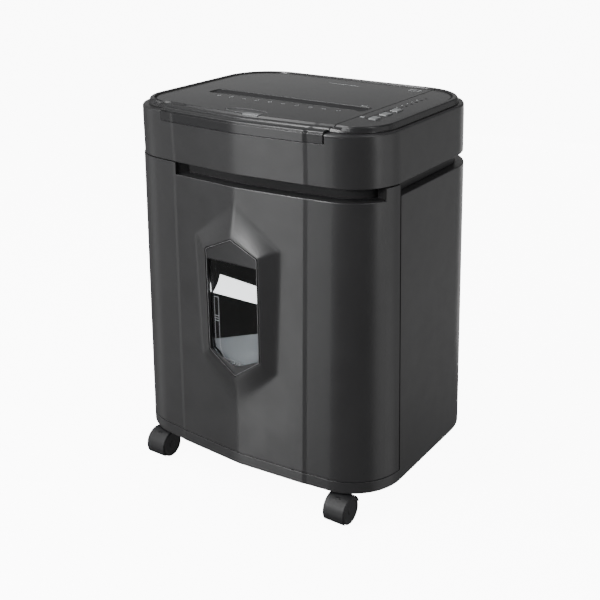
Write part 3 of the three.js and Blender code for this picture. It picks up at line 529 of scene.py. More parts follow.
def outside(point, a, b):
    """Distance of a point from the line a-b of an anticlockwise outline, positive outside."""
    dx, dz = b[0] - a[0], b[1] - a[1]
    return (dz * (point[0] - a[0]) - dx * (point[1] - a[1])) / math.hypot(dx, dz)


BOSS_FRONT, BOSS_REAR = hexagon(BOSS), hexagon(BOSS_ROOT)


def soft_max(values, softness):
    top = max(values)
    return top + softness * math.log(sum(math.exp((v - top) / softness) for v in values))


def boss_y(x, z):
    """Front of the raised bezel: a flat hexagon with a bevel on each of its six sides."""
    facets = [BOSS_Y]
    for i in range(6):
        j = (i + 1) % 6
        past_front = outside((x, z), BOSS_FRONT[i], BOSS_FRONT[j])
        before_root = -outside((x, z), BOSS_REAR[i], BOSS_REAR[j])
        if past_front <= -6:
            continue
        share = past_front / max(past_front + before_root, 1.0)
        root_x = (BOSS_REAR[i][0] + BOSS_REAR[j][0]) / 2
        root_z = (BOSS_REAR[i][1] + BOSS_REAR[j][1]) / 2
        near_x = x if i in (0, 2, 3, 5) else root_x
        root_y = raw_front(abs(near_x)) + flare_at(root_z)
        facets.append(BOSS_Y + share * (root_y - BOSS_Y))
    return soft_max(facets, 0.35)


def door_shift(x, y, z, inset):
    """Moves the door's outer face forward where the bezel stands proud of it."""
    if inset > 0.01 or abs(x) > BEZEL_HALF or not BEZEL_LOW < z < BEZEL_HIGH:
        return y
    proud = boss_y(x, z)
    return -soft_max([-y, -proud], 0.8) if abs(proud - y) < 6 else min(y, proud)


def gripped(side, key):
    """Whether a column of the door has the finger recess at its top."""
    if key[0] == "front":
        return side > 0 or key[1] < CREASE_X
    return side > 0 and key[0] == "corner" and key[1] < GRIP_ANGLE


def grip_depth(side, key):
    """The recess's depth: full, but ramping up from its left end."""
    if side > 0 or key[0] != "front":
        return GRIP_DEPTH
    return GRIP_START + (GRIP_DEPTH - GRIP_START) * min(1.0, (CREASE_X - key[1]) / GRIP_RAMP)


def door_columns(extra):
    """The door's columns from its left end to its right end."""
    chosen = [e for e in whole_outline(1.5, extra) if in_front(e[1], DOOR_ANGLE + 0.001)]
    start = next(i for i, e in enumerate(chosen) if e[0] == -1)
    return chosen[start:] + chosen[:start]


def recess_shade_liner(bm):
    """A thin dark lining on the rear wall of the finger recess: painted shade, an even dark grey where the
    recess lies in shadow.
    """
    rings = []
    for side, key, column in door_columns([]):
        if gripped(side, key):
            depth = grip_depth(side, key)
            loop = rect(Z_GRIP + 0.5, depth - 0.35, Z_HEAD - 1.2, depth + 0.8)
            rings.append(column_ring(column, loop, True))
    add_loft(bm, rings)


def door(bm):
    low, high = Z_SEAM + 0.8, Z_HEAD - 0.9
    extra = [(1, ("corner", DOOR_ANGLE)), (-1, ("corner", DOOR_ANGLE))]
    extra += edge_at(1, "corner", GRIP_ANGLE) + edge_at(-1, "front", CREASE_X, 0.05)
    face = rows(low + 3, BEZEL_LOW, 15) + rows(BEZEL_LOW, BEZEL_HIGH, 1.7) + [(BEZEL_HIGH, 0, None)]
    inside = [(Z_GRIP - WALL, WALL, None), (low, WALL, None)]

    def grip_loop(depth):
        return rounded([
            (low, 0, 0.7), *face, (Z_GRIP, 0, 1.3), (Z_GRIP, depth, 1.5), (high, depth, 0.6),
            (high, depth + WALL, None), (Z_GRIP - WALL, depth + WALL, None), *inside])

    flush_loop = rounded([
        (low, 0, 0.7), *face, (Z_GRIP, 0, 0), (Z_GRIP + 8, 0, 0), (high, 0, 0.8),
        (high, WALL, None), (high - 4, WALL, None), *inside])
    rings = []
    for side, key, column in door_columns(extra):
        loop = grip_loop(grip_depth(side, key)) if gripped(side, key) else flush_loop
        rings.append(column_ring(column, loop, True, door_shift))
    add_loft(bm, rings)


def window_outline(grow=0.0):
    """The sight opening: level top and bottom, its lower corners cut by the hexagon's V."""
    shape = hexagon(BOSS, grow - WINDOW_BORDER)
    low, high = WINDOW_LOW - grow, WINDOW_HIGH + grow
    half, foot, bottom = shape[4][0], shape[4][1], shape[3][1]
    foot_x = half * (low - bottom) / (foot - bottom)
    return [(half, high), (-half, high), (-half, foot), (-foot_x, low), (foot_x, low), (half, foot)]


def prism(bm, outline, y0, y1, radius=0.0):
    """An (x, z) outline drawn out along y."""
    loop = rounded([(x, z, radius) for x, z in outline], 3) if radius else outline
    add_loft(bm, [[(x, y, z) for x, z in loop] for y in (y1, y0)])


def soft_hexagon(grow, radius):
    return rounded([(x, z, radius) for x, z in hexagon(BOSS, grow)], 4)


def cut_opening(bm):
    prism(bm, window_outline(), CUT_FRONT, CUT_BACK, 2.5)


def cut_seat(bm):
    prism(bm, hexagon(BOSS, -0.9), CUT_FRONT, BOSS_Y + 2.8, 3.0)


def window_frame(bm):
    """A frame seated in the bezel: a raised rounded rim and a land that dips towards the pane."""
    corners = window_outline(0.4)
    top, bottom = (0.0, corners[0][1]), (0.0, corners[3][1])
    inner_corners = [top, corners[1], corners[2], bottom, corners[5], corners[0]]
    inner = rounded([(x, z, 1.6) for x, z in inner_corners], 4)
    front, back = BOSS_Y + 0.15, BOSS_Y + 2.3
    rim_steps = ((0, back), (0, front + 0.6), (0.15, front + 0.15), (0.4, front), (0.7, front + 0.3),
                 (1, front + 1.2))
    land_steps = ((0.93, front + 1.2), (0.98, front + 1.4), (1, front + 1.8), (1, back))
    rings = []
    for (ox, oz), (sx, sz), (ix, iz) in zip(soft_hexagon(-2.2, 3.0), soft_hexagon(-3.8, 2.4), inner):
        rings.append([(ox + (sx - ox) * share, y, oz + (sz - oz) * share) for share, y in rim_steps]
                     + [(sx + (ix - sx) * share, y, sz + (iz - sz) * share) for share, y in land_steps])
    add_loft(bm, rings, wrap_rings=True)


def bezel_highlight(bm):
    """A fine pale line on the crest of the frame's rim: a painted highlight where the rim catches the light.
    """
    front, back = BOSS_Y + 0.08, BOSS_Y + 1.5
    add_loft(bm, [[(ox, back, oz), (ox, front, oz), (ix, front, iz), (ix, back, iz)]
                  for (ox, oz), (ix, iz) in zip(soft_hexagon(-2.6, 2.8), soft_hexagon(-3.2, 2.6))],
             wrap_rings=True)


def window_pane(bm):
    prism(bm, window_outline(-0.4), BOSS_Y + 4.5, BOSS_Y + 6.3, 2.0)


def clear_liner(bm):
    """The pane's moulded inner edge: a slim upright with a catch, and a ribbed foot, drawn in glowing pale
    grey as painted highlights on the clear plastic's edges.
    """
    outer_x, inner_x = -34.6, -27.8
    foot_low, foot_high = 199.6, 204.5

    def bar(x0, x1, z0, z1, radius=0.3):
        rounded_block(bm, (x0, BOSS_Y + 6.8, z0), (x1, BOSS_Y + 7.8, z1), radius)

    bar(inner_x, -27.2, 219, 288, 0.25)
    bar(outer_x, -34.2, 222, 286, 0.15)
    bar(outer_x, inner_x, 288, 288.5, 0.2)
    for z in (254.5, 258.0, 261.5):
        bar(-34.4, inner_x, z, z + 0.9)
    for x0, x1 in ((-22.5, -4.0), (-3.0, 0.0), (1.2, 5.0), (6.2, 29.0)):
        bar(x0, x1, 203.6, foot_high)
        bar(x0, x1, foot_low, 200.4)
        bar(x1 - 0.8, x1, foot_low, foot_high)
    for k in range(6):
        bar(inner_x + k * 0.95, -26.6 + k * 0.95, 216.5 - k * 2.2, 219.0 - k * 2.2, 0.25)


def bent_sheet(bm, bottom, top, bow):
    """A thin sheet behind the pane, bowed back towards its middle height. Its pale colour is painted light
    seen through the pane.

    Its bottom and top edges are given as (left x, right x, z at left, z at right)."""
    thick, steps = 1.2, 16
    rings = []
    for k in range(steps + 1):
        t = k / steps
        y = BOSS_Y + 9 + bow * math.sin(math.pi * t)
        left_x, right_x, left_z, right_z = (a + (b - a) * t for a, b in zip(bottom, top))
        ring = [(left_x + (right_x - left_x) * s / steps, y, left_z + (right_z - left_z) * s / steps)
                for s in range(steps + 1)]
        rings.append(ring + [(px, py + thick, pz) for px, py, pz in reversed(ring)])
    add_loft(bm, rings)


# painted reflection: this glowing band stands for a bright light mirrored in the curved pane
def painted_reflection_band(bm):
    bent_sheet(bm, (-37.3, 40, 292.2, 292.1), (-24.8, 40, 319.6, 315.1), bow=2.5)


# painted light: a pale sheet behind the pane's lower part stands for light seen through it
def painted_light_band(bm):
    bent_sheet(bm, (-38, 38, 200, 200), (-38, 38, 226.3, 252.6), bow=1.5)


# ---- bin tub ------------------------------------------------------------


def tub(bm):
    low, high, inset, wall = 70.2, 397.0, 10.0, 2.5
    loop = rounded([(low, inset, 2.0), (230, inset, None), (high - 5, inset, None), (high, inset, 0.8),
                    (high, inset + wall, 0.8), (low + wall, inset + wall, 1.5)])
    columns = [column for _, _, column in whole_outline(12.0)]
    add_loft(bm, [column_ring(column, loop) for column in columns], wrap_rings=True)
    bottom = [column(inset + 1.0) for column in columns]
    add_loft(bm, [[(x, y, z) for x, y in bottom] for z in (low + 0.02, low + wall - 0.02)])


def cut_tub(bm):
    prism(bm, rect(BOSS["x"], 349, -BOSS["x"], 191), -160, -110)


# ---- head ---------------------------------------------------------------

POCKET_REACH = REAR_RADIUS - 9
POCKET_ANGLE = math.degrees(math.asin((118 - REAR_ARC_Y) / POCKET_REACH))
PANEL_REAR_ANGLE = math.degrees(math.acos((SEAM_PANEL - REAR_ARC_X) / POCKET_REACH))
LIP_END = -LIP_LEFT + 0.4
LEDGE, POCKET_LEDGE = 20.0, 9.0


def head_loop(zone, groove, ledge):
    """The head's section: its skin, its shoulder with a ledge for the lid, and its turned-in foot."""
    outer = {"plain": [(Z_HEAD, 1.2, 1.0), (Z_HEAD + 50, 0, 0), (Z_SHOULDER - 3.6, 0, 0),
                       (Z_SHOULDER - 3.2, groove, None), (Z_SHOULDER - 2.9, groove, None)],
             "lip": [(Z_HEAD, 1.2, 1.0), (LIP_LOW - 0.6, 0, 0.5), (LIP_LOW - 0.6, 3.2, 0.3),
                     (Z_SHOULDER - 3.2, 3.2, None), (Z_SHOULDER - 2.9, 3.2, None)]}
    shoulder = {"plain": [(Z_SHOULDER - 2.7, 0, 0), (Z_SHOULDER, 0.2, 2.4), (Z_SHOULDER, ledge, 0.5),
                          (Z_SHOULDER - WALL, ledge, None), (Z_SHOULDER - WALL, WALL, None)],
                "lip": [(Z_SHOULDER - 2.0, 3.2, 0), (Z_SHOULDER, 3.2, 0.5), (Z_SHOULDER, LEDGE, 0.5),
                        (Z_SHOULDER - WALL, LEDGE, None), (Z_SHOULDER - WALL, 4.2, None)],
                "pocket": [(Z_SHOULDER - 2.7, 0, 0), (Z_SHOULDER, 0.2, 2.4), (Z_SHOULDER, ledge, 0.4),
                           (508, ledge, None), (508, WALL, None)]}
    inner = 4.2 if zone == "lip" else WALL
    floor = 29.0 if zone in ("lip", "front") else 17.0
    bottom = [(Z_HEAD + 3, inner, None), (Z_HEAD + 3, floor, None), (Z_HEAD, floor, 0.5)]
    return rounded(outer.get(zone, outer["plain"]) + shoulder.get(zone, shoulder["plain"]) + bottom)


def head_zone(side, key):
    zone, value = key
    if zone == "front" and value < (SEAM_PANEL if side > 0 else LIP_END):
        return "lip"
    if zone == "front" or (zone == "corner" and value < -0.3):
        return "front"
    if zone == "rear" or (zone == "rear_corner" and value > (POCKET_ANGLE if side < 0 else PANEL_REAR_ANGLE)):
        return "pocket"
    return "plain"


def ledge_depth(side, key, zone):
    """The shoulder's depth: less at the rear, where the lid's edge swings down past it."""
    if zone != "pocket":
        if side < 0 or key[0] != "rear_corner":
            return LEDGE
        reach = (SEAM_PANEL - 0.3 - REAR_ARC_X) / max(math.cos(math.radians(key[1])), 0.01)
        return REAR_RADIUS - max(REAR_RADIUS - LEDGE, reach)
    if key[0] != "rear_corner":
        return POCKET_LEDGE
    return POCKET_LEDGE - 2.8 * min(1.0, (90.0 - key[1]) / 20.0)


def draft(key, z, inset):
    """How far the head's skin leans in with height: not at all in front, fully at the sides."""
    zone, value = key
    shares = {"front": 0.0, "corner": 1 + value / 90, "side": 1.0, "rear_corner": 1 - value / 180,
              "rear": 0.5}
    if inset >= WALL + 1.5:
        return 0.0
    return HEAD_DRAFT * shares[zone] * (z - Z_HEAD) / (Z_SHOULDER - Z_HEAD)


def shoulder_groove(key, x):
    """The depth of the hairline under the shoulder, which fades out round the right front corner."""
    depth, end, fade = 0.7, 156, 22
    if key[0] not in ("front", "corner") or x <= 0:
        return 0.0
    return depth * max(0.0, min(1.0, (end - x) / fade))


def head(bm):
    half, seam_bar = 0.04, (121.2, 128.8)
    extra = edge_at(1, "front", SEAM_PANEL, half) + edge_at(-1, "front", LIP_END, half)
    extra += edge_at(1, "corner", -0.3, half) + edge_at(-1, "corner", -0.3, half)
    extra += edge_at(-1, "rear_corner", POCKET_ANGLE, half)
    extra += edge_at(1, "rear_corner", PANEL_REAR_ANGLE, half)
    rings = []
    for side, key, column in whole_outline(9.0, extra):
        x = column(0.0)[0]
        groove = shoulder_groove(key, x)
        zone = head_zone(side, key)
        loop = head_loop(zone, groove, ledge_depth(side, key, zone))
        rings.append(column_ring(column, [(z, inset + draft(key, z, inset)) for z, inset in loop]))
    add_loft(bm, rings, wrap_rings=True)
    rounded_block(bm, (seam_bar[0], -136, 510), (seam_bar[1], 130, Z_SHOULDER - 0.05), 0.5)


INLET, ROCKER, GRILLE = (92.0, 473.0, 11.0, 8.5), (60.0, 473.0, 8.0, 10.5), (-56.0, 473.0, 42.0, 10.0)


def cut_rear(bm):
    """Holes in the head's rear for the inlet, the mains switch and the grille."""
    gap, inner_y, outer_y = 0.3, 130, 170
    for x, z, half_x, half_z in (INLET, ROCKER, GRILLE):
        reach_x, reach_z = half_x + gap, half_z + gap
        prism(bm, rect(x + reach_x, z + reach_z, x - reach_x, z - reach_z), inner_y, outer_y)


# ---- lid and control strip ----------------------------------------------


def seam_column(x_cut, rear):
    """The column on the straight seam between lid and strip, at the front or the rear."""
    if rear:
        across = x_cut - REAR_ARC_X
        return lambda inset: (x_cut, REAR_ARC_Y + math.sqrt((REAR_RADIUS - inset) ** 2 - across ** 2))
    return lambda inset: (x_cut, front_y(x_cut) + inset)


def lid_path():
    """The lid's columns, from the seam's rear end round the left side to its front end."""
    kept = [e for e in whole_outline(9.0) if e[2](0)[0] < SEAM_LID - 1.5 and e[2](20)[0] < SEAM_LID - 0.6]
    start = next(i for i, e in enumerate(kept) if e[0] == 1 and e[1][0].startswith("rear"))
    path = kept[start:] + kept[:start]
    return [seam_column(SEAM_LID, True)] + [e[2] for e in path] + [seam_column(SEAM_LID, False)]


def strip_path():
    """The control strip's columns, from the seam's front end round the right side to its rear end."""
    kept = [e[2] for e in whole_outline(9.0)
            if e[2](0)[0] > SEAM_PANEL + 1.5 and e[2](20)[0] > SEAM_PANEL + 0.8]
    return [seam_column(SEAM_PANEL, False)] + kept + [seam_column(SEAM_PANEL, True)]


DECK_INSET, RIM_FOOT, RIM_LOW = 30.0, 9.5, Z_SHOULDER + 0.3
DECK_UNDER = Z_DECK - WALL
UNDERSIDE = [(RIM_LOW, DECK_INSET, None), (DECK_UNDER, DECK_INSET, None)]
RIM_LOOP = [(Z_DECK, DECK_INSET, None), (Z_DECK, 20.6, 0.3), (Z_DECK - 1.7, 20.0, 0.2),
            (Z_DECK - 1.7, 18.2, 0.2), (Z_TOP, 17.4, 0.6), (Z_TOP, 12.0, 2.3),
            (Z_SHOULDER + 1.8, 10.2, 0.4), (RIM_LOW, RIM_FOOT, 0.3), *UNDERSIDE]
FRONT_LOOP = [(Z_DECK, DECK_INSET, None), (Z_DECK, 27.8, 1.6), (Z_DECK - 2.2, 24.2, 0.4),
              (Z_DECK - 4.2, 23.6, 0.2), (Z_DECK - 4.2, 22.2, 0.2), (Z_DECK - 1.3, 21.2, 0.7),
              (Z_DECK - 1.9, 14.2, 1.2), (RIM_LOW, 12.2, 0.3), *UNDERSIDE]


def rim_profile(column):
    """The lid's edge: a raised rim at the sides and the rear, blending into two soft steps in front."""
    x, y = column(0.0)
    blend_from, blend_over = 165.0, 41.0
    share = 0.0 if y > FRONT_ARC_Y else min(1.0, max(0.0, (blend_from - abs(x)) / blend_over))
    share = share * share * (3 - 2 * share)
    pairs = zip(rounded(RIM_LOOP, 4), rounded(FRONT_LOOP, 4))
    return [(za + (zb - za) * share, ia + (ib - ia) * share) for (za, ia), (zb, ib) in pairs]


def pit(bm, loops):
    """Joins a stack of (outline, z) from the deck's hole down, and gives its layers of points."""
    return add_loft(bm, [[(x, y, z) for x, y in outline] for outline, z in loops], caps=False)


def fill(bm, outlines, z, up):
    """A flat face with holes: the first outline is its edge and the others are its holes."""
    flat = [[Vector((x, y, 0.0)) for x, y in outline] for outline in outlines]
    verts = [bm.verts.new(p) for p in place([(v.x, v.y, z) for v in sum(flat, [])])]
    for a, b, c in tessellate_polygon(flat):
        try:
            bm.faces.new((verts[a], verts[b], verts[c]) if up else (verts[c], verts[b], verts[a]))
        except ValueError:
            continue


def mouth_outline(grow=0.0):
    """The wide mouth that guides a sheet into the slot."""
    corners = rect(MOUTH["left"] - grow, MOUTH["near"] - grow, MOUTH["right"] + grow, MOUTH["far"] + grow)
    return rounded([(x, y, 6.0 + grow) for x, y in corners], 8)


def slot_stack():
    """The mouth's rounded edge, cut straight through the deck."""
    lip = 0.9
    turns = [math.pi / 2 * k / 5 for k in range(6)]
    edge = [(mouth_outline(lip * (1 - math.sin(t))), Z_DECK - lip * (1 - math.cos(t))) for t in turns]
    return edge + [(mouth_outline(), DECK_UNDER)]


def slot_funnel(bm):
    """A funnel in the mouth that narrows to the paper's slot, in the flat dark grey that paints the shade
    inside the slot.
    """
    mouth = mouth_outline(0.2)
    low, high = SLOT_Y - SLOT_WIDTH / 2 + 1, SLOT_Y + SLOT_WIDTH / 2 - 1
    corners = rect(PATH_X - SLOT_HALF + 1, low, PATH_X + SLOT_HALF - 1, high)
    throat = rounded([(x, y, 3.0) for x, y in corners], 8)
    middle = [(ax + (bx - ax) * 0.7, ay + (by - ay) * 0.7) for (ax, ay), (bx, by) in zip(mouth, throat)]
    levels = [(mouth, 0.8), (middle, 1.7), (throat, 2.6), (throat, 3.6), (middle, 3.3), (mouth, 2.9)]
    add_loft(bm, [[(x, y, Z_DECK - drop) for x, y in outline] for outline, drop in levels], wrap_rings=True)


def oval(inset):
    return circle(DISH_X, DISH_Y, DISH_RX - inset, DISH_RY - inset)


def dish_stack():
    """The oval pit in the deck that holds the dish's inlay."""
    return [(oval(inset), Z_DECK - depth)
            for inset, depth in ((0.0, 0.0), (0.1, 0.1), (0.15, 1.9), (1.5, 2.0), (10.0, 2.0))]


def dish_inlay(bm):
    """A lighter oval plate with a raised brim and a shallow bowl, a hairline clear of the pit."""
    profile = [(0.9, 1.8), (0.9, 0.35), (1.1, 0.1), (1.5, 0.0), (2.0, 0.15), (2.8, 0.7), (5.0, 1.0),
               (10.0, 1.2), (11.0, 1.25)]
    add_loft(bm, [[(x, y, Z_DECK - depth) for x, y in oval(inset)] for inset, depth in profile])


def dish_highlight_ring(bm):
    """A fine pale ring round the inlay: a painted highlight on the dish's rim."""
    flat_ring(bm, oval(0.85), oval(1.6), Z_DECK - 0.5, Z_DECK + 0.1)


def groove_outline():
    """A hairline seam along the lid's left side, where the inner panel meets the rim."""
    return [(-126.9, -98), (-126.1, -98), (-139.1, 120), (-139.9, 120)]


def seam_wall(bm, path):
    """The straight wall along the seam between lid and strip."""
    ends = [path[0](DECK_INSET), path[-1](DECK_INSET)]
    add_loft(bm, [[(x, y, z) for z in (DECK_UNDER, Z_DECK)] for x, y in ends],
             wrap_points=False, caps=False)


def rim(bm, path):
    """The rolled edge round a lid or strip, open towards its deck."""
    add_loft(bm, [column_ring(column, rim_profile(column)) for column in path], wrap_points=False)


def lid(bm):
    path = lid_path()
    edge = [column(DECK_INSET) for column in path]
    slot, bowl, groove = slot_stack(), dish_stack(), groove_outline()
    rim(bm, path)
    fill(bm, [edge, slot[0][0], bowl[0][0], groove], Z_DECK, True)
    fill(bm, [edge, slot[-1][0]], DECK_UNDER, False)
    pit(bm, slot)
    for stack in (bowl, [(groove, Z_DECK), (groove, Z_DECK - 0.5)]):
        bm.faces.new(pit(bm, stack)[-1])
    seam_wall(bm, path)


def lip(bm):
    """The lid's front edge: a bullnose ledge over a dark groove, and a flat lip hanging below it."""
    keys = [(side, key, column) for side, key, column in whole_outline(9.0) if key[0] == "front"]
    left = [c for s, k, c in keys if s < 0 and k[1] < -LIP_LEFT - 1]
    right = [c for s, k, c in keys if s > 0 and k[1] < SEAM_LID - 1]
    ends = [make_column(-1, ("front", -LIP_LEFT)), make_column(1, ("front", SEAM_LID))]
    columns = [ends[0], *left, *right, ends[1]]
    ledge = rounded([
        (Z_SHOULDER + 0.2, 1.6, 0.3), (Z_SHOULDER + 0.2, 0.2, 0.7), (Z_SHOULDER + 2.1, 0.5, 1.2),
        (Z_SHOULDER + 2.9, 6.0, 1.0), (Z_SHOULDER + 2.7, 12.0, None), (Z_SHOULDER + 0.3, 12.0, None)])
    face = rounded([
        (LIP_LOW, -LIP_PROUD, 0.5), (Z_SHOULDER - 0.7, -LIP_PROUD, 0.6), (Z_SHOULDER - 0.7, 1.2, 0.3),
        (Z_SHOULDER + 0.6, 1.4, None), (Z_SHOULDER + 0.6, 2.9, None), (LIP_LOW, 2.9 - LIP_PROUD, 0.4)])
    for loop in (ledge, face):
        add_loft(bm, [column_ring(column, loop) for column in columns])


def lid_under(bm):
    """Guides below the slot, hinge knuckles and the lugs that carry the pressure plate's rod."""
    for y in (SLOT_Y - 7, SLOT_Y + 5.4):
        rounded_block(bm, (PATH_X - 106, y, 504), (PATH_X + 106, y + 1.6, Z_DECK - 2), 0.5)
    for a, b in ((-118, -106), (98, 110)):
        rod(bm, a, b, 4.0, 0.5, (0, HINGE_Y, HINGE_Z), 32)
        rounded_block(bm, (a, HINGE_Y - 3, HINGE_Z), (b, HINGE_Y + 3, Z_DECK - 1), 0.4)
    for a, b in ((-100, -96), (84, 88)):
        rod(bm, a, b, 4.0, 0.4, (0, ROD_Y, ROD_Z), 32)
        rounded_block(bm, (a, ROD_Y - 4, ROD_Z), (b, ROD_Y + 4, Z_DECK - 2), 0.4)


def around(x, y, half_x, half_y, low, high):
    """The low and high corners of a block centred on (x, y)."""
    return (x - half_x, y - half_y, low), (x + half_x, y + half_y, high)


def button_centres():
    return [BUTTON_Y + i * BUTTON_PITCH for i in range(3)]


def led_centres():
    return [LED_Y + i * LED_PITCH for i in range(LED_COUNT)]


def strip_holes():
    """The openings in the strip: one for each key and indicator, and a narrow slot beside the keys."""
    gap, led_radius = 0.8, 2.1
    half_x, half_y = BUTTON_SIZE[0] / 2 + gap, BUTTON_SIZE[1] / 2 + gap
    holes = [rect(BUTTON_X - half_x, y - half_y, BUTTON_X + half_x, y + half_y) for y in button_centres()]
    holes += [circle(LED_X, y, led_radius, led_radius, 20) for y in led_centres()]
    return holes + [rect(137.2, -70, 138.4, -4)]


def control_strip(bm):
    path = strip_path()
    edge = [column(DECK_INSET) for column in path]
    holes = strip_holes()
    rim(bm, path)
    fill(bm, [edge, *holes], Z_DECK, True)
    fill(bm, [edge, *holes], DECK_UNDER, False)
    for hole in holes:
        pit(bm, [(hole, Z_DECK), (hole, DECK_UNDER)])
    seam_wall(bm, path)


def button(y):
    """A key with a flange below the strip that keeps it in."""
    half_x, half_y = BUTTON_SIZE[0] / 2, BUTTON_SIZE[1] / 2

    def build(bm):
        rounded_block(bm, *around(BUTTON_X, y, half_x, half_y, 520, Z_TOP - 0.2), 1.0, 4)
        rounded_block(bm, *around(BUTTON_X, y, half_x + 1.4, half_y + 1.4, 519.1, 520.4), 0.3)
    return build


def indicators(bm):
    centres = led_centres()
    high = (LED_X + 1.9, centres[-1] + 3.9, DECK_UNDER - 0.2)
    rounded_block(bm, (LED_X - 1.9, LED_Y - 3.9, 518.2), high, 0.4)
    dome = [(-3.5, 1.6), (-0.5, 1.6), (-0.25, 1.4), (-0.08, 0.9), (0.0, 0.3)]
    for y in centres:
        add_turned(bm, dome, (LED_X, y, Z_DECK - 0.3), 20, "z")


def cut_latch_hole(bm):
    rounded_block(bm, *around(LATCH_X, LATCH_Y, LATCH_HALF + 0.1, 5.2, 505, 535), 1.0)


def latch_tab(bm):
    rounded_block(bm, *around(LATCH_X, LATCH_Y, LATCH_HALF - 0.4, 4.7, 519.8, Z_DECK + 0.7), 0.9, 4)


MARK_LOW, MARK_HIGH = Z_DECK - 0.2, Z_DECK + 0.06


def bar_mark(bm, x0, y0, x1, y1):
    """A printed bar, a few hundredths of a millimetre proud of the deck."""
    rounded_block(bm, (x0, y0, MARK_LOW), (x1, y1, MARK_HIGH), 0.1, 1)


def ring_mark(bm, outer, inner):
    flat_ring(bm, outer, inner, MARK_LOW, MARK_HIGH)


def marks(bm):
    """Plain generic marks: a row before the slot, one by its end, and a small square by the hinge."""
    y = -49.5
    for i in range(10):
        x = -100.0 + i * 20.8
        if i % 3 == 2:
            bar_mark(bm, x - 2.8, y - 0.4, x + 2.8, y + 0.4)
        else:
            ring_mark(bm, circle(x, y, 2.5, 2.5, 20), circle(x, y, 1.9, 1.9, 20))
    bar_mark(bm, 95, -8, 104, -6.6)
    ring_mark(bm, rect(98, 110, 113, 121), rect(99.2, 111.2, 111.8, 119.8))
    bar_mark(bm, -24, 101, 26, 102)


def strip_marks(bm):
    """A square before the keys, and a short bar beside each indicator but the last."""
    bar_mark(bm, 127.5, -66.5, 132.5, -61.5)
    for y in led_centres()[:-1]:
        bar_mark(bm, 137.5, y - 1.4, 139.5, y + 1.4)


# ---- casters ------------------------------------------------------------

WHEEL_RADIUS, WHEEL_WIDTH, WEB, TRAIL, HOOD, CASTER_HEIGHT = 18.5, 11.4, 7.0, 13.8, 2.4, 42.0
FLOOR = DROP


def caster_hood(x, y):
    """A hood over two wheels, with its web, axle boss, neck, collar and stem."""
    axle = (x, y - TRAIL, FLOOR + WHEEL_RADIUS)
    half = WHEEL_WIDTH + WEB / 2 + 0.6
    inner, outer = WHEEL_RADIUS + 0.9, WHEEL_RADIUS + HOOD - 0.15
    start, end = math.asin((5 - WHEEL_RADIUS) / outer), math.pi - math.asin(5 / outer)
    section = rounded([(-half, inner, 0.3), (-half, outer, 1.1), (half, outer, 1.1), (half, inner, 0.3)], 4)

    def shell_ring(k, steps):
        """The hood's section at one step of its sweep, a little thinner at both ends."""
        angle = start + (end - start) * k / steps
        trim = 0.0 if 0 < k < steps else 0.5
        trimmed = [(u, r - trim * (r - inner) / (outer - inner)) for u, r in section]
        return [(x + u, axle[1] - r * math.cos(angle), axle[2] + r * math.sin(angle)) for u, r in trimmed]

    def build(bm):
        add_loft(bm, [shell_ring(k, 36) for k in range(37)])
        rod(bm, -WEB / 2, WEB / 2, WHEEL_RADIUS - 3, 0.5, axle)
        rounded_block(bm, (x - WEB / 2, axle[1] - 10, axle[2] + 6),
                      (x + WEB / 2, axle[1] + 12, FLOOR + 2 * WHEEL_RADIUS + 1.2), 0.6)
        rounded_block(bm, (x - WEB / 2, y - 8, FLOOR + 24), (x + WEB / 2, y + 4, FLOOR + 40), 0.8)
        collar = turned_profile([(34.5, 7.4, 0.6), (CASTER_HEIGHT - 0.9, 8.4, 0.5)])
        add_turned(bm, collar, (x, y, FLOOR), 40, "z")
        add_turned(bm, turned_profile([(40, 4.9, None), (52, 4.9, 0.7)]), (x, y, FLOOR), 32, "z")
    return build


def caster_wheels(x, y):
    """Two dished wheels on one axle."""
    near, far = WEB / 2 + 0.5, WEB / 2 + 0.5 + WHEEL_WIDTH
    axle = (x, y - TRAIL, FLOOR + WHEEL_RADIUS)
    shape = [(near, WHEEL_RADIUS, 0.8), (far, WHEEL_RADIUS, 1.6), (far, 15.0, 0.4),
             (far - 0.8, 14.4, 0.4), (far - 0.8, 5.2, 0.3), (far - 0.1, 4.6, 0.4)]

    def build(bm):
        for side in (-1, 1):
            profile = [(side * u, r) for u, r in turned_profile(shape)]
            add_turned(bm, profile if side > 0 else profile[::-1], axle, sides=64)
        add_turned(bm, [(-near - 0.5, 3.0), (near + 0.5, 3.0)], axle, sides=24)
    return build


# ---- mechanism under the lid --------------------------------------------

SHAFT_END, BEARING_START = 128.0, 120.0
TEETH_POINTS = 48


def cutter(y, offset):
    """A shaft with toothed strip-cut discs and spacers."""
    axis = (0, y, CUTTER_Z)

    def disc(turn):
        """A disc's outline, with a notch at every sixth point."""
        points = []
        for k in range(TEETH_POINTS):
            radius = 16.9 if k % 6 else 15.4
            angle = 2 * math.pi * (k + 2 * turn) / TEETH_POINTS
            points.append((y + radius * math.cos(angle), CUTTER_Z + radius * math.sin(angle)))
        return points

    def build(bm):
        rod(bm, -140.5, SHAFT_END, 5.0, 0.6, axis, 24)
        start = PATH_X - CUTTER_PITCH * CUTTER_COUNT / 2 + offset
        for i in range(CUTTER_COUNT):
            left = start + i * CUTTER_PITCH
            for blade in (0.0, 5.7):
                add_loft(bm, [[(left + blade + u, py, pz) for py, pz in disc(i % 3)] for u in (0.0, 5.3)])
            add_turned(bm, [(left + 11.1, 9.5), (left + CUTTER_PITCH - 0.05, 9.5)], axis, sides=32)
        rod(bm, BEARING_START, SHAFT_END, 9.0, 0.4, axis, 32)
    return build


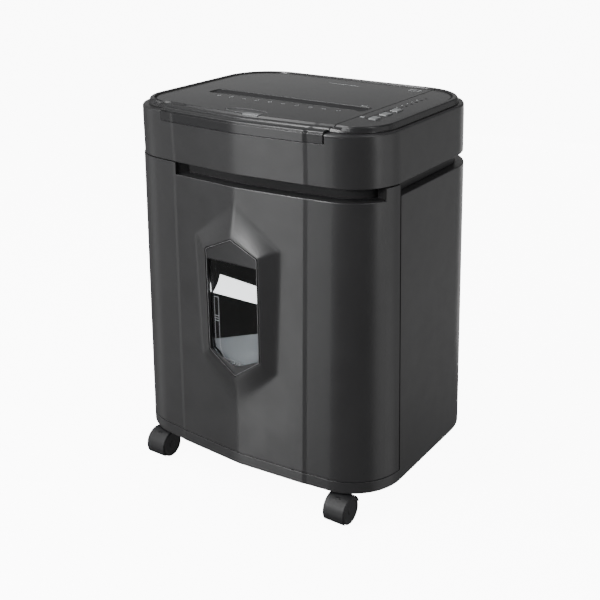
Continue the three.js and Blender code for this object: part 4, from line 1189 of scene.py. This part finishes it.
def feed_roller(y):
    """A shaft with three ribbed rubber sleeves."""
    axis = (0, y, FEED_Z)

    def build(bm):
        rod(bm, -132.0, SHAFT_END, 5.0, 0.5, axis, 24)
        for x in (-84, -26, 32):
            corners = [(x, 12.0, 1.0)]
            for k in range(1, 8):
                rib = x + 5 * k
                corners += [(rib - 0.5, 12.0, None), (rib, 11.5, None), (rib + 0.5, 12.0, None)]
            add_turned(bm, turned_profile(corners + [(x + 40, 12.0, 1.0)]), axis, sides=40)
        rod(bm, BEARING_START, SHAFT_END, 9.0, 0.4, axis, 32)
    return build


def motor_can(bm):
    """The motor's can with two rolled beads and its end bosses, centred on the CAD's motor."""
    box_low, box_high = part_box("motor")
    centre = (0, (box_low.y + box_high.y) / 2 / MM, (box_low.z + box_high.z) / 2 / MM + DROP)
    corners = [(-125.6, 12.0, 0.6), (-121.6, 12.0, 0.3), (-121.4, 25.8, 2.5)]
    for bead in (-112, -52):
        corners += [(bead, 25.8, None), (bead + 0.6, 25.2, None), (bead + 1.2, 25.8, None)]
    corners += [(-36, 25.8, 2.5), (-36, 9.0, 0.5), (-32, 9.0, 0.8)]
    add_turned(bm, turned_profile(corners), centre, sides=64)


# ---- assembly -----------------------------------------------------------


def polish(node, material):
    """Keeps a CAD node's shape: rounds its edges a little and gives it its material."""
    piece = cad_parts[node]
    piece.data.materials.clear()
    piece.data.materials.append(material)
    bevel = piece.modifiers.new("edges", "BEVEL")
    bevel.width = 0.4 * MM
    bevel.segments = 2
    bevel.limit_method = "ANGLE"
    bevel.angle_limit = math.radians(40.0)
    bevel.harden_normals = True
    piece.data.shade_smooth()
    piece.data.set_sharp_from_angle(angle=math.radians(35.0))


def build_casing():
    piece_of("rear_casing", cabinet, CASING, "cabinet", ["cabinet_shell"])
    piece_of("neck", neck, DARK, "cabinet", ["neck_frame"])
    front = piece_of("bin_front_casing", door, CASING, "bin", ["bin_front"])
    cut_out(front, cut_opening)
    cut_out(front, cut_seat)
    piece_of("finger_recess_shade", recess_shade_liner, PAINTED_SHADE, "bin")
    tub_piece = piece_of("shred_bin", tub, CASING, "bin", ["bin_tub"])
    cut_out(tub_piece, cut_tub)
    piece_of("window_bezel", window_frame, GLOSS, "bin", ["window_frame"])
    piece_of("bezel_highlight", bezel_highlight, PAINTED_HIGHLIGHT, "bin")
    piece_of("window_glazing", window_pane, CLEAR, "bin", ["window_pane"])
    piece_of("window_catch_glints", clear_liner, PAINTED_GLINT, "bin")
    piece_of("window_painted_reflection", painted_reflection_band, PAINTED_REFLECTION, "bin")
    piece_of("window_painted_light_band", painted_light_band, PAINTED_LIGHT_GREY, "bin")


def build_head():
    shell = piece_of("head_casing", head, CASING, "cabinet", ["head_shell"])
    cut_out(shell, cut_rear)
    top = piece_of("top_lid", lid, GLOSS, "lid", ["lid"])
    piece_of("lid_front_lip", lip, GLOSS, "lid")
    piece_of("lid_underside", lid_under, GLOSS, "lid")
    # painted shade: the funnel's flat dark grey stands for the shadow inside the slot
    piece_of("slot_funnel", slot_funnel, PAINTED_SHADE, "lid")
    inlay = piece_of("dish_inlay", dish_inlay, INLAY, "lid")
    # painted highlight: the pale ring round the dish, cut like the lid
    trim = piece_of("dish_highlight_ring", dish_highlight_ring, PAINTED_HIGHLIGHT, "lid")
    for piece in (top, inlay, trim):
        cut_out(piece, cut_latch_hole)
    piece_of("control_strip", control_strip, GLOSS, "cabinet", ["control_panel"])
    for name, y in zip(("power", "forward", "reverse"), button_centres()):
        piece_of(f"{name}_key", button(y), GREY, f"{name}_button", [f"button_{name}"])
    piece_of("indicator_lights", indicators, INDICATOR, "cabinet", ["indicator_strip"])
    piece_of("latch_tab", latch_tab, GREY, "latch_tab", ["latch_button"])
    piece_of("lid_marks", marks, PRINT, "lid")
    piece_of("strip_marks", strip_marks, PRINT, "cabinet")


def build_casters():
    for name in ("front_left", "front_right", "rear_left", "rear_right"):
        low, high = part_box(f"caster_wheels_{name}")
        x, y = (low.x + high.x) / 2 / MM, (low.y + high.y) / 2 / MM + TRAIL
        piece_of(f"caster_hood_{name}", caster_hood(x, y), CASTER, f"caster_{name}",
                 [f"caster_housing_{name}"])
        piece_of(f"twin_wheels_{name}", caster_wheels(x, y), CASTER, f"wheels_{name}",
                 [f"caster_wheels_{name}"])


def build_mechanism():
    for end, turn, offset in (("front", -1, 0.0), ("rear", 1, CUTTER_PITCH / 2)):
        cylinder = cutter(SLOT_Y + turn * CUTTER_APART / 2, offset)
        roller = feed_roller(SLOT_Y + turn * FEED_SPREAD)
        piece_of(f"cutting_cylinder_{end}", cylinder, CUTTER, f"{end}_cutter", [f"cutter_{end}"])
        piece_of(f"grip_roller_{end}", roller, RUBBER, f"{end}_feed_roller", [f"feed_roller_{end}"])
    piece_of("drive_motor", motor_can, PAINT, "cabinet", ["motor"])


# The CAD nodes that keep their own shape, by material.
KEPT = (
    (DARK, ("base_plate", "bin_guide_left", "bin_guide_right", "latch_hook", "hinge_bracket_left",
            "hinge_bracket_right", "paper_tray", "pressure_plate", "stripper_front", "stripper_rear",
            "cooling_fan", "power_inlet", "rocker_housing", "vent_grille", "bin_switch")),
    (STEEL, ("lid_hinge_pin_left", "lid_hinge_pin_right", "pivot_rod", "pressure_spring",
             "gear_cutter_front", "gear_cutter_rear", "motor_pinion", "motor_shaft", "side_plate_left",
             "side_plate_right", "cross_bar_front", "cross_bar_rear")),
    (NYLON, ("gear_idler",)), (RUBBER, ("belt_front", "belt_rear")), (BOARD, ("circuit_board",)),
    (VARNISH, ("power_supply",)), (INDICATOR, ("rocker_paddle",)),
)


def floor_mesh(bm):
    reach, bend, height, steps = 9000.0, 2000.0, 9000.0, 12
    turns = [math.pi / 2 * k / steps for k in range(1, steps + 1)]
    profile = [(1.0, 0.0), (reach, 0.0)]
    profile += [(reach + bend * math.sin(turn), bend * (1 - math.cos(turn))) for turn in turns]
    profile.append((reach + bend, height))
    rings = [[(x, y, DROP - 0.5 + rise) for x, y in circle(0.0, 0.0, radius, radius, 64)]
             for radius, rise in profile]
    layers = add_loft(bm, rings, caps=False)
    bm.faces.new(list(reversed(layers[0])))


def build_floor():
    """A pale floor that sweeps up into a round backdrop far away, and lights nothing."""
    material = new_material("floor", (0.8, 0.8, 0.8), 0.8, Emission_Color=PURE_WHITE, Emission_Strength=10.0)
    floor = mesh_of("floor", floor_mesh, material)
    floor.visible_diffuse = False
    floor.visible_glossy = False
    floor.visible_transmission = False
    floor.visible_shadow = False


def direction(azimuth, elevation):
    """The unit vector towards a compass direction: 0 is the front, positive to the right."""
    turn, tilt = math.radians(azimuth), math.radians(elevation)
    return Vector((math.sin(turn) * math.cos(tilt), -math.cos(turn) * math.cos(tilt), math.sin(tilt)))


# Even lights that face the model: azimuth, elevation, distance, (width, height) in metres, and watts.
LIGHT_TARGET = Vector((0.0, 0.0, 0.26))
SOFTBOXES = {
    "front": (-25, -4, 2.0, (0.42, 2.4), 13.5),
    "front_high": (-48, 52, 2.0, (0.5, 0.9), 12),
    "left_high": (-86, 62, 2.0, (0.6, 0.6), 8),
    "bezel": (-19, 20, 2.0, (0.34, 0.34), 20),
    "ledge": (-24, 44, 2.0, (0.22, 0.5), 14),
    "corner": (97, -6, 2.0, (1.6, 2.4), 12),
    "corner_high": (81, 3, 2.0, (0.3, 0.9), 2),
    "corner_top": (80, 50, 2.0, (0.3, 1.2), 7),
    "side": (140, 0, 2.0, (1.2, 2.4), 3.2),
    "left": (-68, 0, 2.0, (0.9, 2.4), 4.5),
    "overhead": (212, 32, 2.0, (1.2, 0.5), 0.3),
    "rear": (190, -14, 2.0, (1.8, 1.0), 6),
    "behind": (214, 23.6, 0.9, (1.0, 0.12), 0.17),
}


def softbox(name, azimuth, elevation, distance, size, power):
    data = bpy.data.lights.new(name, "AREA")
    data.shape = "RECTANGLE"
    data.size, data.size_y = size
    data.energy = power
    light = bpy.data.objects.new(name, data)
    away = direction(azimuth, elevation)
    light.location = LIGHT_TARGET + away * distance
    light.rotation_mode = "QUATERNION"
    light.rotation_quaternion = (-away).to_track_quat("-Z", "Y")
    light.visible_camera = False
    bpy.context.scene.collection.objects.link(light)


def build_lights():
    world = bpy.data.worlds.new("studio")
    bpy.context.scene.world = world
    world.use_nodes = True
    background = world.node_tree.nodes["Background"]
    background.inputs["Color"].default_value = PURE_WHITE
    background.inputs["Strength"].default_value = 0.16
    for name, values in SOFTBOXES.items():
        softbox(name, *values)


VIEW_AZIMUTH, VIEW_ELEVATION, VIEW_ROLL, VIEW_DISTANCE = 34.03, 19.41, -0.47, 1.3837
VIEW_TARGET = Vector((0.0, 0.0085, 0.3112))


def build_camera():
    """The viewpoint: 34 degrees round to the right, 19 degrees up, with the lens shifted down a little."""
    back = direction(VIEW_AZIMUTH, VIEW_ELEVATION)
    data = bpy.data.cameras.new("camera")
    data.sensor_width = 36.0
    data.lens = 59.76
    data.shift_x, data.shift_y = -0.0119, -0.10
    camera = bpy.data.objects.new("camera", data)
    camera.location = VIEW_TARGET + back * VIEW_DISTANCE
    camera.rotation_mode = "QUATERNION"
    turn = (-back).to_track_quat("-Z", "Y")
    roll = Matrix.Rotation(math.radians(VIEW_ROLL), 3, "Z").to_quaternion()
    camera.rotation_quaternion = turn @ roll
    bpy.context.scene.collection.objects.link(camera)
    bpy.context.scene.camera = camera


build_camera()
build_casing()
build_head()
build_casters()
build_mechanism()
for finish, names in KEPT:
    for node in names:
        polish(node, finish)
build_floor()
build_lights()
